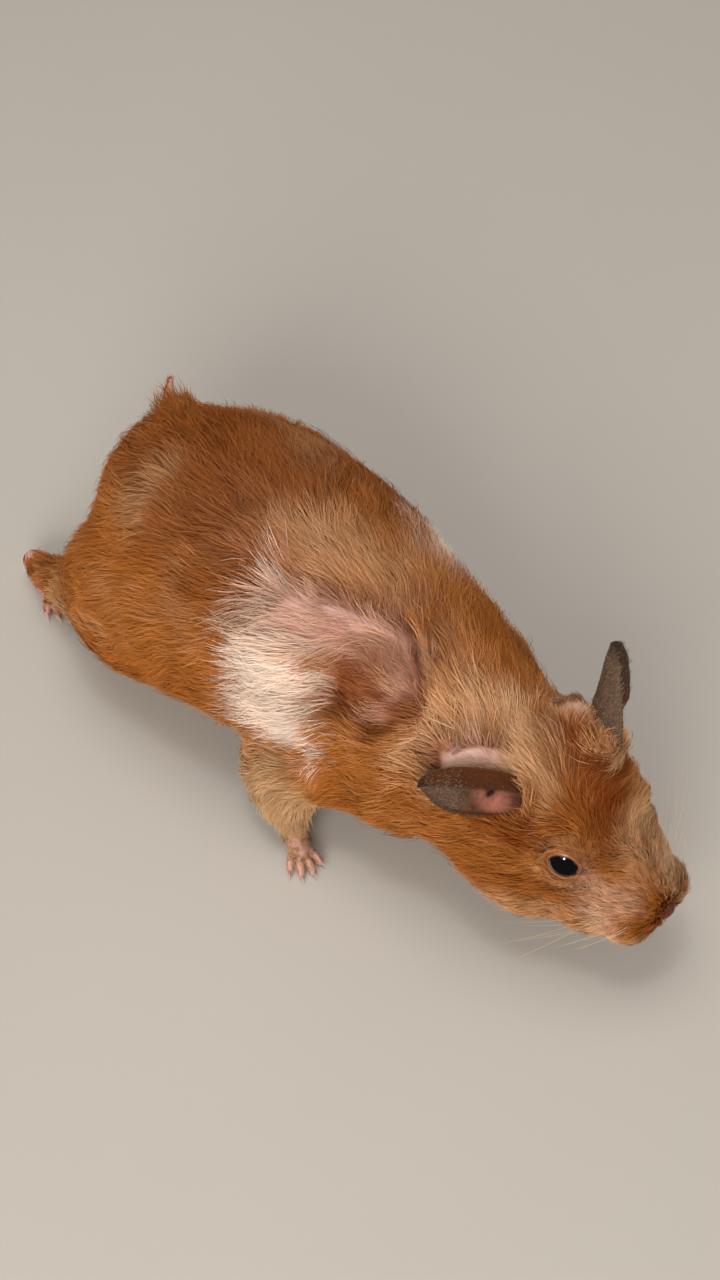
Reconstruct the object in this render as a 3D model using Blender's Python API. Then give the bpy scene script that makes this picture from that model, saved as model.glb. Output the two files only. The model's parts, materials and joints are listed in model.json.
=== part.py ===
"""Syrian hamster, life size, standing on all fours and reaching forward with its head held low.

Metres, +Z up, the animal faces +X and its left side is +Y. The solids give the outline of the
coat: the body is modelled whole from lofted stations and rounded masses, then parted with thin
cuts into the pieces that a person would name. Nothing on it moves. The origin is the middle of
the bounding box at the level of the soles.
"""

import math
from collections import namedtuple

import bmesh
import bpy
from mathutils import Matrix, Vector

MM = 0.001
SIDES = {"left": 1, "right": -1}

# Every piece is parted from its neighbours by this gap, in millimetres.
GAP = 0.3

# Driving dimensions of the trunk, in millimetres: where each station lies along the body, how
# far the spine bends to the left there, the half width, the heights of back and belly, and the
# height at which it is widest.
Station = namedtuple("Station", "at bend half_width top bottom widest")
TRUNK_STATIONS = (
    Station(-70.5, -3.0, 4.5, 33.0, 22.0, 27.0),
    Station(-68.0, -3.0, 10.5, 37.5, 16.0, 26.0),
    Station(-63.0, -3.6, 17.4, 42.0, 11.5, 25.0),
    Station(-55.0, -4.2, 22.0, 46.5, 8.0, 24.0),
    Station(-45.0, -4.6, 26.0, 49.5, 7.0, 24.0),
    Station(-33.0, -4.2, 28.0, 51.2, 6.5, 24.0),
    Station(-20.0, -3.8, 28.0, 51.5, 7.0, 24.0),
    Station(-9.0, -3.0, 25.2, 50.5, 8.0, 24.5),
    Station(3.0, -1.2, 20.5, 48.0, 9.5, 26.0),
    Station(14.0, -1.8, 19.0, 45.2, 8.5, 24.5),
    Station(24.0, -2.4, 18.4, 43.5, 9.0, 23.5),
    Station(33.0, -2.0, 15.5, 41.0, 12.0, 25.0),
)

# The head has a frame of its own, with its origin at the joint with the neck, so that its pitch
# and turn are two numbers. Its stations run from the back of the skull to the tip of the muzzle.
HEAD_JOINT = Vector((25.0, -1.5, 32.5))
HEAD_PITCH, HEAD_TURN = math.radians(12), math.radians(5)
HEAD_STATIONS = (
    Station(-2.0, 0.0, 10.0, 8.0, -12.0, -2.0),
    Station(2.0, 0.0, 14.6, 11.2, -15.0, -2.5),
    Station(8.0, 0.0, 16.4, 12.6, -16.8, -3.5),
    Station(15.0, 0.0, 16.2, 12.4, -17.0, -4.5),
    Station(21.0, 0.0, 14.6, 11.0, -16.2, -4.5),
    Station(27.0, 0.0, 12.0, 8.4, -14.6, -4.5),
    Station(33.0, 0.0, 9.4, 4.8, -12.8, -4.6),
    Station(37.5, 0.0, 7.4, 1.8, -11.0, -4.6),
    Station(41.0, 0.0, 5.4, -0.6, -9.0, -4.4),
    Station(42.6, 0.0, 3.0, -2.2, -7.0, -4.4),
)
MUZZLE_FROM = 30.0

# Rounded masses that lie on the lofts: centre, radii and pitch in degrees. Those of the head are
# given for its left side and made on both.
Mass = namedtuple("Mass", "centre radii pitch")
HEAD_MASSES = (
    Mass((14.0, 10.0, -9.6), (15.0, 8.4, 8.2), 12),  # cheek pouch
    Mass((27.0, 7.2, -9.2), (9.5, 5.6, 5.2), 14),  # jowl between cheek and lip
    Mass((36.0, 4.6, -7.2), (6.8, 5.0, 4.6), 12),  # whisker pad
    Mass((22.5, 6.4, 3.6), (6.5, 4.4, 4.6), 20),  # brow over the eye
    Mass((9.0, 7.0, 5.6), (5.5, 4.8, 5.0), 0),  # root of the ear
)
CHIN = Mass((32.0, 0.0, -11.0), (8.0, 5.6, 3.8), 8)
SHOULDER_BLADES = {
    "right": Mass((7.0, -8.0, 35.2), (10.5, 10.5, 10.5), 0),
    "left": Mass((6.0, 6.5, 34.0), (10.0, 9.5, 10.0), 0),
}
UPPER_ARMS = {
    "right": Mass((10.5, -14.0, 19.0), (13.5, 9.8, 12.0), 22),
    "left": Mass((9.0, 11.5, 23.0), (11.0, 7.5, 12.0), 20),
}
THIGHS = {
    "right": Mass((-45.0, -22.0, 20.0), (20.4, 15.0, 16.0), -10),
    "left": Mass((-48.0, 11.5, 21.5), (18.0, 11.0, 16.0), -10),
}

# Each limb is a chain of joints with the radius of the furred leg there, down to the paw.
Joint = namedtuple("Joint", "place radius")
LIMBS = {
    "foreleg_right": (
        Joint((10.0, -14.5, 19.5), 9.2),
        Joint((-5.0, -25.5, 13.5), 7.6),
        Joint((0.5, -28.4, 7.8), 5.2),
        Joint((4.2, -29.8, 4.6), 3.2),
    ),
    "foreleg_left": (
        Joint((10.0, 12.5, 22.0), 8.0),
        Joint((4.0, 16.5, 13.5), 6.4),
        Joint((10.0, 18.4, 8.0), 4.6),
        Joint((13.5, 19.0, 4.6), 3.2),
    ),
    "hindleg_right": (
        Joint((-46.0, -22.0, 17.0), 10.0),
        Joint((-57.5, -26.5, 11.5), 7.2),
        Joint((-68.5, -28.0, 7.6), 4.4),
        Joint((-75.5, -28.3, 5.2), 3.0),
    ),
    "hindleg_left": (
        Joint((-45.0, 15.0, 16.0), 9.5),
        Joint((-53.0, 18.0, 11.0), 7.0),
        Joint((-60.0, 19.0, 7.8), 4.8),
        Joint((-64.0, 19.0, 5.4), 3.3),
    ),
}

# A paw: where its palm or sole is centred, the way it points, its size and its toes.
Paw = namedtuple("Paw", "centre heading length width toe_lengths claw")
PAWS = {
    "forepaw_right": Paw((6.0, -30.7), -24, 5.6, 5.2, (2.8, 3.7, 3.7, 2.8), 1.2),
    "forepaw_left": Paw((15.4, 19.3), 8, 5.6, 5.2, (2.8, 3.7, 3.7, 2.8), 1.2),
    "hindfoot_right": Paw((-73.5, -28.8), -6, 12.6, 5.6, (2.8, 4.0, 4.4, 4.0, 2.8), 1.4),
    "hindfoot_left": Paw((-60.0, 19.8), 8, 12.6, 5.6, (2.8, 4.0, 4.4, 4.0, 2.8), 1.4),
}
PAW_OF = {
    "foreleg_right": "forepaw_right",
    "foreleg_left": "forepaw_left",
    "hindleg_right": "hindfoot_right",
    "hindleg_left": "hindfoot_left",
}

# The sole is a low rounded pad, sunk a little so that the ground cuts it flat, with the ankle or
# wrist on it. The toes fan out from its front with this angle between neighbours.
SOLE_HEIGHT, SOLE_SINK, SOLE_WIDTH_SHARE = 2.5, 0.35, 0.43
ANKLE_BACK, ANKLE_RISE, ANKLE_RADII = 0.3, 0.9, (2.7, 2.3, 2.6)
TOE_ROOT_AHEAD, TOE_ROOT_ARCH, TOE_ROOT_SPAN, TOE_ROOT_HEIGHT = 0.36, 1.4, 0.74, 1.5
TOE_RADIUS, TOE_TIP_RADIUS, TOE_SPREAD = 0.95, 0.82, 15.0
KNUCKLE_RISE, TOE_TIP_DROP = 0.35, 0.6
CLAW_ROOT_RADIUS, CLAW_TIP_RADIUS, CLAW_DROP = 0.62, 0.36, 0.35

EYE_RADIUS = 3.3
EYE_CENTRE = (23.6, 9.3, 3.1)
ORBIT_RADII, ORBIT_OUT = (4.3, 3.4, 3.6), (0.5, 2.4, 1.9)
NOSE_CENTRE, NOSE_RADII = (41.9, 0.0, -3.3), (1.9, 2.3, 1.6)

# The tail is a bare stub that tapers, lifts and leans to the left from the top of the rump.
TAIL = (
    Joint((-61.0, 0.2, 35.0), 2.6),
    Joint((-66.5, 2.6, 36.0), 2.0),
    Joint((-69.5, 5.0, 36.8), 1.5),
    Joint((-71.8, 7.2, 37.4), 0.9),
)

# An ear is a cupped leaf with its root sunk in the head. Across it runs an arc, deep at the root
# and shallower at the tip. The left one stands up, and the right one is laid back and bows out.
Ear = namedtuple("Ear", "root tip opening width root_arc tip_arc bow")
EARS = {
    "ear_left": Ear((36.5, 8.0, 34.0), (35.4, 15.6, 55.8), (0.78, 0.62, 0.0), 14.5, 112, 30, 0.0),
    "ear_right": Ear((39.0, -6.2, 40.0), (24.4, -19.0, 36.5), (0.2, -0.78, 0.6), 7.6, 84, 60, 1.8),
}
EAR_THICKNESS, EAR_TIP_ROUNDING = 0.9, 0.95
EAR_ROWS, EAR_COLUMNS = 7, 6

# Where the thin cuts lie along the body: the first in the head's frame, and how much wider than
# a limb the region is that it takes out of the body.
NECK_CUT, SHOULDER_CUT, LOIN_CUT = 1.0, 15.0, -36.0
REGION_MARGIN, REGION_OUT, REGION_DOWN, REGION_SHARE = 2.2, 5.0, 3.0, 0.94
REACH = 200.0

# How each shape is blended: the voxel in millimetres, the rounds of smoothing and about how many
# triangles are left.
Blend = namedtuple("Blend", "voxel smoothing triangles")
BODY_BLEND, REGION_BLEND = Blend(0.9, 7, 3000), Blend(1.2, 3, 170)
PAW_BLEND, TAIL_BLEND = Blend(0.36, 2, 290), Blend(0.5, 2, 160)

COAT = ("golden coat", (0.44, 0.19, 0.07), 0.75)
PALE_COAT = ("pale coat", (0.72, 0.58, 0.45), 0.8)
BARE_SKIN = ("bare pink skin", (0.62, 0.33, 0.29), 0.55)
EAR_SKIN = ("dark ear skin", (0.16, 0.12, 0.11), 0.6)
EYE_BLACK = ("eye", (0.01, 0.008, 0.008), 0.08)


def clear_scene():
    for old in list(bpy.data.objects):
        bpy.data.objects.remove(old, do_unlink=True)


def material(spec):
    """A Principled material from its name, colour and roughness, made once."""
    name, colour, roughness = spec
    made = bpy.data.materials.get(name)
    if made is None:
        made = bpy.data.materials.new(name)
        made.use_nodes = True
        shader = made.node_tree.nodes["Principled BSDF"]
        shader.inputs["Base Color"].default_value = (*colour, 1.0)
        shader.inputs["Roughness"].default_value = roughness
        shader.inputs["Metallic"].default_value = 0.0
    return made


def object_of(name, mesh, spec=None):
    made = bpy.data.objects.new(name, mesh)
    bpy.context.scene.collection.objects.link(made)
    if spec is not None:
        made.data.materials.append(material(spec))
    return made


def helper(obj):
    """Marks a cutter or guide, which isn't a piece of the animal."""
    obj.hide_render = True
    obj.display_type = "WIRE"
    return obj


def mesh_from(bm, name, matrix=None):
    """The bmesh as a mesh in metres, with the matrix applied in millimetres first."""
    if matrix is not None:
        bm.transform(matrix)
    bm.transform(Matrix.Scale(MM, 4))
    bmesh.ops.recalc_face_normals(bm, faces=bm.faces)
    mesh = bpy.data.meshes.new(name)
    bm.to_mesh(mesh)
    bm.free()
    return mesh


def head_matrix():
    turn = Matrix.Rotation(HEAD_TURN, 4, "Z")
    pitch = Matrix.Rotation(HEAD_PITCH, 4, "Y")
    return Matrix.Translation(HEAD_JOINT) @ turn @ pitch


def smooth_between(a, b, c, d, t):
    """Catmull-Rom value between b and c."""
    return b + 0.5 * t * (c - a + t * (2 * a - 5 * b + 4 * c - d + t * (3 * (b - c) + d - a)))


def refined(stations, steps=4):
    """The stations with smooth ones put between them."""
    rows = []
    for i in range(len(stations) - 1):
        four = [stations[max(0, min(len(stations) - 1, i + k))] for k in (-1, 0, 1, 2)]
        for k in range(steps):
            rows.append(Station(*(smooth_between(*values, k / steps) for values in zip(*four))))
    return rows + [stations[-1]]


def lofted(bm, stations, sides=28):
    """Adds a closed skin over the stations, each an oval with its own upper and lower half."""
    rings = []
    for row in refined(stations):
        ring = []
        for i in range(sides):
            angle = 2 * math.pi * i / sides
            rise = math.sin(angle)
            height = (row.top - row.widest) if rise > 0 else (row.widest - row.bottom)
            side = row.bend + row.half_width * math.cos(angle)
            ring.append(bm.verts.new((row.at, side, row.widest + height * rise)))
        rings.append(ring)
    for first, second in zip(rings, rings[1:]):
        for i in range(sides):
            j = (i + 1) % sides
            bm.faces.new((first[i], first[j], second[j], second[i]))
    bm.faces.new(rings[0])
    bm.faces.new(reversed(rings[-1]))


def add_ball(bm, centre, radii, pitch=0.0, segments=24):
    """Adds a rounded mass with three radii, pitched about the axis that crosses the body."""
    place = Matrix.Translation(centre) @ Matrix.Rotation(math.radians(pitch), 4, "Y")
    place = place @ Matrix.Diagonal((*radii, 1.0))
    rings = segments // 2
    bmesh.ops.create_uvsphere(bm, u_segments=segments, v_segments=rings, radius=1.0, matrix=place)


def add_mass(bm, mass, sign=1):
    x, y, z = mass.centre
    add_ball(bm, (x, y * sign, z), mass.radii, mass.pitch)


def add_chain(bm, joints, step=0.9):
    """Adds the rounded limb that runs through the joints, as close-set balls."""
    for first, second in zip(joints, joints[1:]):
        start, end = Vector(first.place), Vector(second.place)
        count = max(1, math.ceil((end - start).length / step))
        for i in range(count + 1):
            t = i / count
            radius = first.radius + (second.radius - first.radius) * t
            add_ball(bm, start.lerp(end, t), (radius,) * 3, segments=16)


def evaluated_mesh(obj, name):
    bpy.context.view_layer.update()
    graph = bpy.context.evaluated_depsgraph_get()
    return bpy.data.meshes.new_from_object(obj.evaluated_get(graph), depsgraph=graph)


def blended(mesh, blend):
    """The overlapping shapes of a mesh as one smooth closed skin of about that many triangles."""
    work = object_of("blend", mesh)
    remesh = work.modifiers.new("Remesh", "REMESH")
    remesh.mode = "VOXEL"
    remesh.voxel_size = blend.voxel * MM
    smooth = work.modifiers.new("Smooth", "SMOOTH")
    smooth.factor = 0.5
    smooth.iterations = blend.smoothing
    whole = evaluated_mesh(work, "whole")
    work.modifiers.clear()
    work.data = whole
    decimate = work.modifiers.new("Decimate", "DECIMATE")
    decimate.ratio = min(1.0, blend.triangles / (2 * len(whole.polygons)))
    made = evaluated_mesh(work, "blended")
    bpy.data.objects.remove(work)
    return made


def boolean(obj, cutter, operation):
    cut = obj.modifiers.new(f"{operation.title()} {cutter.name}", "BOOLEAN")
    cut.operation = operation
    cut.solver = "EXACT"
    cut.object = cutter


def swell(obj):
    """Grows a helper all round by the gap between pieces."""
    displace = obj.modifiers.new("Gap", "DISPLACE")
    displace.mid_level = 0.0
    displace.strength = GAP * MM
    return obj


def grown(obj, name):
    """A helper that is the object's shape, larger all round by the gap between pieces."""
    copy = helper(object_of(name, obj.data.copy()))
    for source in obj.modifiers:
        if source.type == "BOOLEAN":
            boolean(copy, source.object, source.operation)
    return swell(copy)


def box_helper(name, low, high, matrix=None):
    """A helper box between two corners."""
    bm = bmesh.new()
    low, high = Vector(low), Vector(high)
    place = Matrix.Translation((low + high) / 2) @ Matrix.Diagonal((*(high - low), 1.0))
    bmesh.ops.create_cube(bm, size=1.0, matrix=place)
    return helper(object_of(name, mesh_from(bm, name, matrix)))


def slab(name, start, end, matrix=None):
    """A helper box across the whole body between two stations, short of each by half the gap."""
    low, high = start + GAP / 2, end - GAP / 2
    return box_helper(name, (low, -REACH, -REACH), (high, REACH, REACH), matrix)


def ball_piece(name, centre, radii, segments, matrix, spec=None):
    """A piece or helper that is one rounded mass."""
    bm = bmesh.new()
    add_ball(bm, centre, radii, segments=segments)
    return object_of(name, mesh_from(bm, name, matrix), spec)


def body_mesh():
    """The whole coat, from the rump to the tip of the muzzle and down to the wrists and ankles."""
    body = bmesh.new()
    lofted(body, TRUNK_STATIONS)
    for side in SIDES:
        for mass in (SHOULDER_BLADES[side], UPPER_ARMS[side], THIGHS[side]):
            add_mass(body, mass)
    for joints in LIMBS.values():
        add_chain(body, joints)
    head = bmesh.new()
    lofted(head, HEAD_STATIONS)
    for mass in HEAD_MASSES:
        for sign in SIDES.values():
            add_mass(head, mass, sign)
    add_mass(head, CHIN)
    joined = bmesh.new()
    joined.from_mesh(mesh_from(body, "body form"))
    joined.from_mesh(mesh_from(head, "head form", head_matrix()))
    mesh = bpy.data.meshes.new("whole form")
    joined.to_mesh(mesh)
    joined.free()
    return blended(mesh, BODY_BLEND)


def paw_mesh(paw):
    """A sole with its ankle or wrist, splayed toes and claws."""
    bm = bmesh.new()
    sole = (paw.length / 2, paw.width * SOLE_WIDTH_SHARE, SOLE_HEIGHT)
    add_ball(bm, (0, 0, SOLE_HEIGHT - SOLE_SINK), sole)
    add_ball(bm, (-paw.length * ANKLE_BACK, 0, SOLE_HEIGHT + ANKLE_RISE), ANKLE_RADII)
    count = len(paw.toe_lengths)
    for i, length in enumerate(paw.toe_lengths):
        share = i / (count - 1) - 0.5
        angle = math.radians(-share * TOE_SPREAD * (count - 1))
        forward = Vector((math.cos(angle), math.sin(angle), 0.0))
        ahead = paw.length * TOE_ROOT_AHEAD - abs(share) * TOE_ROOT_ARCH
        root = Vector((ahead, -share * paw.width * TOE_ROOT_SPAN, TOE_ROOT_HEIGHT))
        knuckle = root + forward * length / 2 + Vector((0, 0, KNUCKLE_RISE))
        tip = root + forward * length - Vector((0, 0, TOE_TIP_DROP))
        claw_tip = tip + forward * paw.claw - Vector((0, 0, CLAW_DROP))
        toe = (Joint(root, TOE_RADIUS), Joint(knuckle, TOE_RADIUS), Joint(tip, TOE_TIP_RADIUS))
        add_chain(bm, toe, 0.5)
        add_chain(bm, (Joint(tip, CLAW_ROOT_RADIUS), Joint(claw_tip, CLAW_TIP_RADIUS)), 0.3)
    turn = Matrix.Rotation(math.radians(paw.heading), 4, "Z")
    place = Matrix.Translation((*paw.centre, 0.0)) @ turn
    return blended(mesh_from(bm, "paw form", place), PAW_BLEND)


def leg_region(leg):
    """A helper that holds one leg and the muscle it hangs from, to part it from the body."""
    side = leg.split("_")[1]
    mass = (UPPER_ARMS if leg.startswith("fore") else THIGHS)[side]
    x, y, z = mass.centre
    bm = bmesh.new()
    centre = (x, y + REGION_OUT * SIDES[side], z - REGION_DOWN)
    add_ball(bm, centre, [radius * REGION_SHARE for radius in mass.radii], mass.pitch)
    add_chain(bm, [Joint(joint.place, joint.radius + REGION_MARGIN) for joint in LIMBS[leg]], 1.5)
    name = f"{leg} region"
    return helper(object_of(name, blended(mesh_from(bm, name), REGION_BLEND)))


def ear_mesh(ear):
    """The cupped leaf of one ear, with its root sunk in the head."""
    root, tip = Vector(ear.root), Vector(ear.tip)
    along = (tip - root).normalized()
    facing = Vector(ear.opening)
    facing = (facing - along * facing.dot(along)).normalized()
    across = along.cross(facing)
    bm = bmesh.new()
    grid = []
    for i in range(EAR_ROWS + 1):
        s = i / EAR_ROWS
        belly = 0.62 + 0.38 * math.sin(math.pi * s**0.9)
        half = ear.width / 2 * belly * math.sqrt(1 - EAR_TIP_ROUNDING * s**6)
        arc = math.radians(ear.root_arc + (ear.tip_arc - ear.root_arc) * s**0.7)
        radius = half / math.sin(min(arc, math.pi / 2))
        spine = root.lerp(tip, s) + facing * ear.bow * 4 * s * (1 - s)
        row = []
        for j in range(EAR_COLUMNS + 1):
            angle = arc * (2 * j / EAR_COLUMNS - 1)
            cup = across * math.sin(angle) + facing * (1 - math.cos(angle))
            row.append(bm.verts.new(spine + cup * radius))
        grid.append(row)
    for i in range(EAR_ROWS):
        for j in range(EAR_COLUMNS):
            bm.faces.new((grid[i][j], grid[i][j + 1], grid[i + 1][j + 1], grid[i + 1][j]))
    return mesh_from(bm, "ear form")


def make_paws(ground):
    paws = {}
    for name, paw in PAWS.items():
        paws[name] = object_of(name, paw_mesh(paw), BARE_SKIN)
        boolean(paws[name], ground, "DIFFERENCE")
    return paws


def make_legs(body, regions, paws, ground):
    """Each leg is what its region takes of the body, cut back from its paw and off the ground."""
    for name, region in regions.items():
        leg = object_of(name, body.copy(), COAT)
        boolean(leg, region, "INTERSECT")
        boolean(leg, ground, "DIFFERENCE")
        paw = PAW_OF[name]
        boolean(leg, grown(paws[paw], f"{paw} clearance"), "DIFFERENCE")


def make_torso(body, regions, head_frame):
    """Neck, trunk and rump: slices of the body without the legs and the tail."""
    skull_slab = slab("skull slab", -REACH, NECK_CUT, head_frame)
    slices = {
        "neck": (slab("neck slab", SHOULDER_CUT, REACH), skull_slab),
        "trunk": (slab("trunk slab", LOIN_CUT, SHOULDER_CUT),),
        "rump": (slab("rump slab", -REACH, LOIN_CUT),),
    }
    legs_beside = {"neck": ("foreleg",), "trunk": ("foreleg", "hindleg"), "rump": ("hindleg",)}
    for name, slabs in slices.items():
        piece = object_of(name, body.copy(), COAT)
        for cutter in slabs:
            boolean(piece, cutter, "INTERSECT")
        for leg, region in regions.items():
            if leg.split("_")[0] in legs_beside[name]:
                boolean(piece, grown(region, f"{leg} clearance of the {name}"), "DIFFERENCE")
    bm = bmesh.new()
    add_chain(bm, TAIL, 0.7)
    tail = object_of("tail", blended(mesh_from(bm, "tail form"), TAIL_BLEND), BARE_SKIN)
    boolean(bpy.data.objects["rump"], grown(tail, "tail clearance"), "DIFFERENCE")


def make_head(body, head_frame):
    """Skull and muzzle, with the eyes in open orbits, the nose pad and the two ears."""
    head = object_of("head", body.copy(), COAT)
    boolean(head, slab("head slab", NECK_CUT, MUZZLE_FROM, head_frame), "INTERSECT")
    muzzle = object_of("muzzle", body.copy(), PALE_COAT)
    boolean(muzzle, slab("muzzle slab", MUZZLE_FROM, REACH, head_frame), "INTERSECT")
    for side, sign in SIDES.items():
        x, y, z = EYE_CENTRE
        radii = (EYE_RADIUS,) * 3
        eye = ball_piece(f"eye_{side}", (x, y * sign, z), radii, 14, head_frame, EYE_BLACK)
        boolean(head, grown(eye, f"eye socket {side}"), "DIFFERENCE")
        ahead, out, up = ORBIT_OUT
        opening = (x + ahead, (y + out) * sign, z + up)
        orbit = helper(ball_piece(f"orbit {side}", opening, ORBIT_RADII, 12, head_frame))
        boolean(head, orbit, "DIFFERENCE")
    nose = ball_piece("nose", NOSE_CENTRE, NOSE_RADII, 12, head_frame, BARE_SKIN)
    boolean(muzzle, grown(nose, "nose clearance"), "DIFFERENCE")
    skull = swell(helper(object_of("skull clearance", body.copy())))
    for name, ear in EARS.items():
        pinna = object_of(name, ear_mesh(ear), EAR_SKIN)
        thick = pinna.modifiers.new("Thickness", "SOLIDIFY")
        thick.thickness = EAR_THICKNESS * MM
        thick.offset = 0.0
        boolean(pinna, skull, "DIFFERENCE")


def centre_on_ground():
    """Hangs every object from one empty, placed so that the origin is at the middle of the box."""
    bpy.context.view_layer.update()
    graph = bpy.context.evaluated_depsgraph_get()
    pieces = [obj for obj in bpy.data.objects if not obj.hide_render]
    corners = [Vector(corner) for obj in pieces for corner in obj.evaluated_get(graph).bound_box]
    low, high = (Vector(map(pick, zip(*corners))) for pick in (min, max))
    stand = bpy.data.objects.new("standing place", None)
    for obj in bpy.data.objects:
        if obj is not stand:
            obj.parent = stand
    bpy.context.scene.collection.objects.link(stand)
    stand.location = (-(low.x + high.x) / 2, -(low.y + high.y) / 2, -low.z)


def main():
    clear_scene()
    head_frame = head_matrix()
    body = body_mesh()
    ground = box_helper("ground cutter", (-REACH, -REACH, -REACH), (REACH, REACH, 0.0))
    regions = {leg: leg_region(leg) for leg in LIMBS}
    make_legs(body, regions, make_paws(ground), ground)
    make_torso(body, regions, head_frame)
    make_head(body, head_frame)
    for obj in bpy.data.objects:
        obj.data.shade_smooth()
    centre_on_ground()


main()
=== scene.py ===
"""The looks of the Syrian hamster model: skin, eyes, ears, claws, coat and whiskers, laid over
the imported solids. Sizes are in millimetres unless a name says otherwise, and the model's frame is
the solids' own: the animal faces +X, its left side is +Y, and its soles stand at the floor."""

import json
import math
from collections import namedtuple

import bmesh
import bpy
import numpy as np
from mathutils import Matrix, Vector
from mathutils.bvhtree import BVHTree
from mathutils.kdtree import KDTree


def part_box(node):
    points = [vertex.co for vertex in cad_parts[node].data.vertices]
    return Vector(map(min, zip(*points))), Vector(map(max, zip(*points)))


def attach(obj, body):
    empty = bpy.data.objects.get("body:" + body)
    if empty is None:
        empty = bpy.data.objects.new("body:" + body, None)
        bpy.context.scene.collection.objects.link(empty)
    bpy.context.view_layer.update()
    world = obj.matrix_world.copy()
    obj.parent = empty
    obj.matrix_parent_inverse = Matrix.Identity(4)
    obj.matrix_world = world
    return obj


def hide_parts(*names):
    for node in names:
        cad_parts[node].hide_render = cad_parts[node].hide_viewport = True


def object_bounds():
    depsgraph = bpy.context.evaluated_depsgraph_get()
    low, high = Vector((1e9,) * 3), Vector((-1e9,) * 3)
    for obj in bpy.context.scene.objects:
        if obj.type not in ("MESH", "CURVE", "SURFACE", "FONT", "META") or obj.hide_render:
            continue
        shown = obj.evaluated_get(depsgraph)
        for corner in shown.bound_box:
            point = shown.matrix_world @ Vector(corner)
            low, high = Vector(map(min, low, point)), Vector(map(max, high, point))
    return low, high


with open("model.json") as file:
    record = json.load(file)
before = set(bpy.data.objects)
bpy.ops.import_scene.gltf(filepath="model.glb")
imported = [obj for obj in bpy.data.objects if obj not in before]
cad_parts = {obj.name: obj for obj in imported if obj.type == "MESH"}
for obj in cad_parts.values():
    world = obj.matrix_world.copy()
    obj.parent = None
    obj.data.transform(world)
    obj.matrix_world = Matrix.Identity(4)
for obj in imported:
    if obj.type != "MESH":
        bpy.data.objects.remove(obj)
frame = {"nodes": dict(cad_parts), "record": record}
CAD_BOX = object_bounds()


# ---- Studio ----------------------------------------------------------------------------------
# The model stands on a pale matt board. A wide soft box hangs above and a little behind it, with
# a weaker one on the near side and a small lamp that puts a point of light in the eyes.

MM = 0.001
BOARD_SIDE, BOARD_COLOUR = 3.0, "#c2bcb4"
CAMERA_AZIMUTH, CAMERA_ELEVATION, CAMERA_DISTANCE = 47.0, 58.0, 324.6
CAMERA_AIM = (-2.3, 4.6, -3.1)  # from the middle of the solids' box
VERTICAL_VIEW = 40.0
SOFT_BOXES = {  # direction from the animal, distance, width across and watts
    "key soft box": ((-0.20, 0.06, 0.96), 620, 420, 1.3),
    "near fill": ((0.48, -0.80, 0.52), 700, 460, 3.4),
    "catch light": ((-0.04, -0.04, 1.0), 560, 90, 5.0),
}
ROOM_LIGHT, LAMP_TINT = 0.38, "#fffaf4"


def linear(code):
    """An sRGB hex colour in Blender's linear values."""
    parts = [int(code[i : i + 2], 16) / 255 for i in (1, 3, 5)]
    return (*[c / 12.92 if c <= 0.04045 else ((c + 0.055) / 1.055) ** 2.4 for c in parts], 1.0)


def add(tree, kind, sockets=None, **settings):
    """Adds a shader node. A socket is given a value, or the output that feeds it."""
    made = tree.nodes.new("ShaderNode" + kind)
    for name, value in settings.items():
        setattr(made, name, value)
    for key, value in (sockets or {}).items():
        if isinstance(value, bpy.types.NodeSocket):
            tree.links.new(value, made.inputs[key])
        else:
            made.inputs[key].default_value = value
    return made


def new_finish(name, **constants):
    """A Principled material, its node tree and its shader, with constants on the shader."""
    made = bpy.data.materials.new(name)
    made.use_nodes = True
    shader = made.node_tree.nodes["Principled BSDF"]
    for key, value in constants.items():
        shader.inputs[key.replace("_", " ").title().replace("Ior", "IOR")].default_value = value
    return made, made.node_tree, shader


def place(name, data, finish=None):
    """An object in the scene that holds this mesh, light or camera."""
    made = bpy.data.objects.new(name, data)
    bpy.context.scene.collection.objects.link(made)
    if finish is not None:
        data.materials.append(finish)
    return made


def unit(vectors):
    """The vector or rows of vectors, each of length one."""
    vectors = np.asarray(vectors, float)
    return vectors / np.maximum(np.linalg.norm(vectors, axis=-1, keepdims=True), 1e-9)


middle = (np.array(CAD_BOX[0]) + np.array(CAD_BOX[1])) / 2 / MM

board_mesh = bpy.data.meshes.new("board")
half = BOARD_SIDE / 2
corners = [(-half, -half, 0), (half, -half, 0), (half, half, 0), (-half, half, 0)]
board_mesh.from_pydata(corners, [], [(0, 1, 2, 3)])
board_paint, tree, shader = new_finish("matt painted board", roughness=0.75)
mottle = add(tree, "TexNoise", {"Scale": 40.0, "Detail": 4.0})
tone = add(tree, "MapRange", {0: mottle.outputs[0], 3: 0.97, 4: 1.03})
paint = add(tree, "HueSaturation", {"Color": linear(BOARD_COLOUR), "Value": tone.outputs[0]})
tree.links.new(paint.outputs[0], shader.inputs["Base Color"])
board = place("board", board_mesh, board_paint)

for name, (direction, distance, side, watts) in SOFT_BOXES.items():
    light = bpy.data.lights.new(name, "AREA")
    light.energy, light.size, light.shape = watts, side * MM, "DISK"
    light.color = linear(LAMP_TINT)[:3]
    lamp = place(name, light)
    lamp.visible_glossy = name != "near fill"
    lamp.visible_diffuse = name != "catch light"  # it only puts a point of light in the eyes
    lamp.location = (middle + unit(direction) * distance) * MM
    lamp.rotation_euler = Vector(direction).to_track_quat("Z", "Y").to_euler()

room = bpy.data.worlds.new("room")
room.use_nodes = True
room.node_tree.nodes["Background"].inputs["Color"].default_value = linear("#f4f1ec")
room.node_tree.nodes["Background"].inputs["Strength"].default_value = ROOM_LIGHT
bpy.context.scene.world = room
bpy.context.scene.view_settings.view_transform = "Standard"

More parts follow.
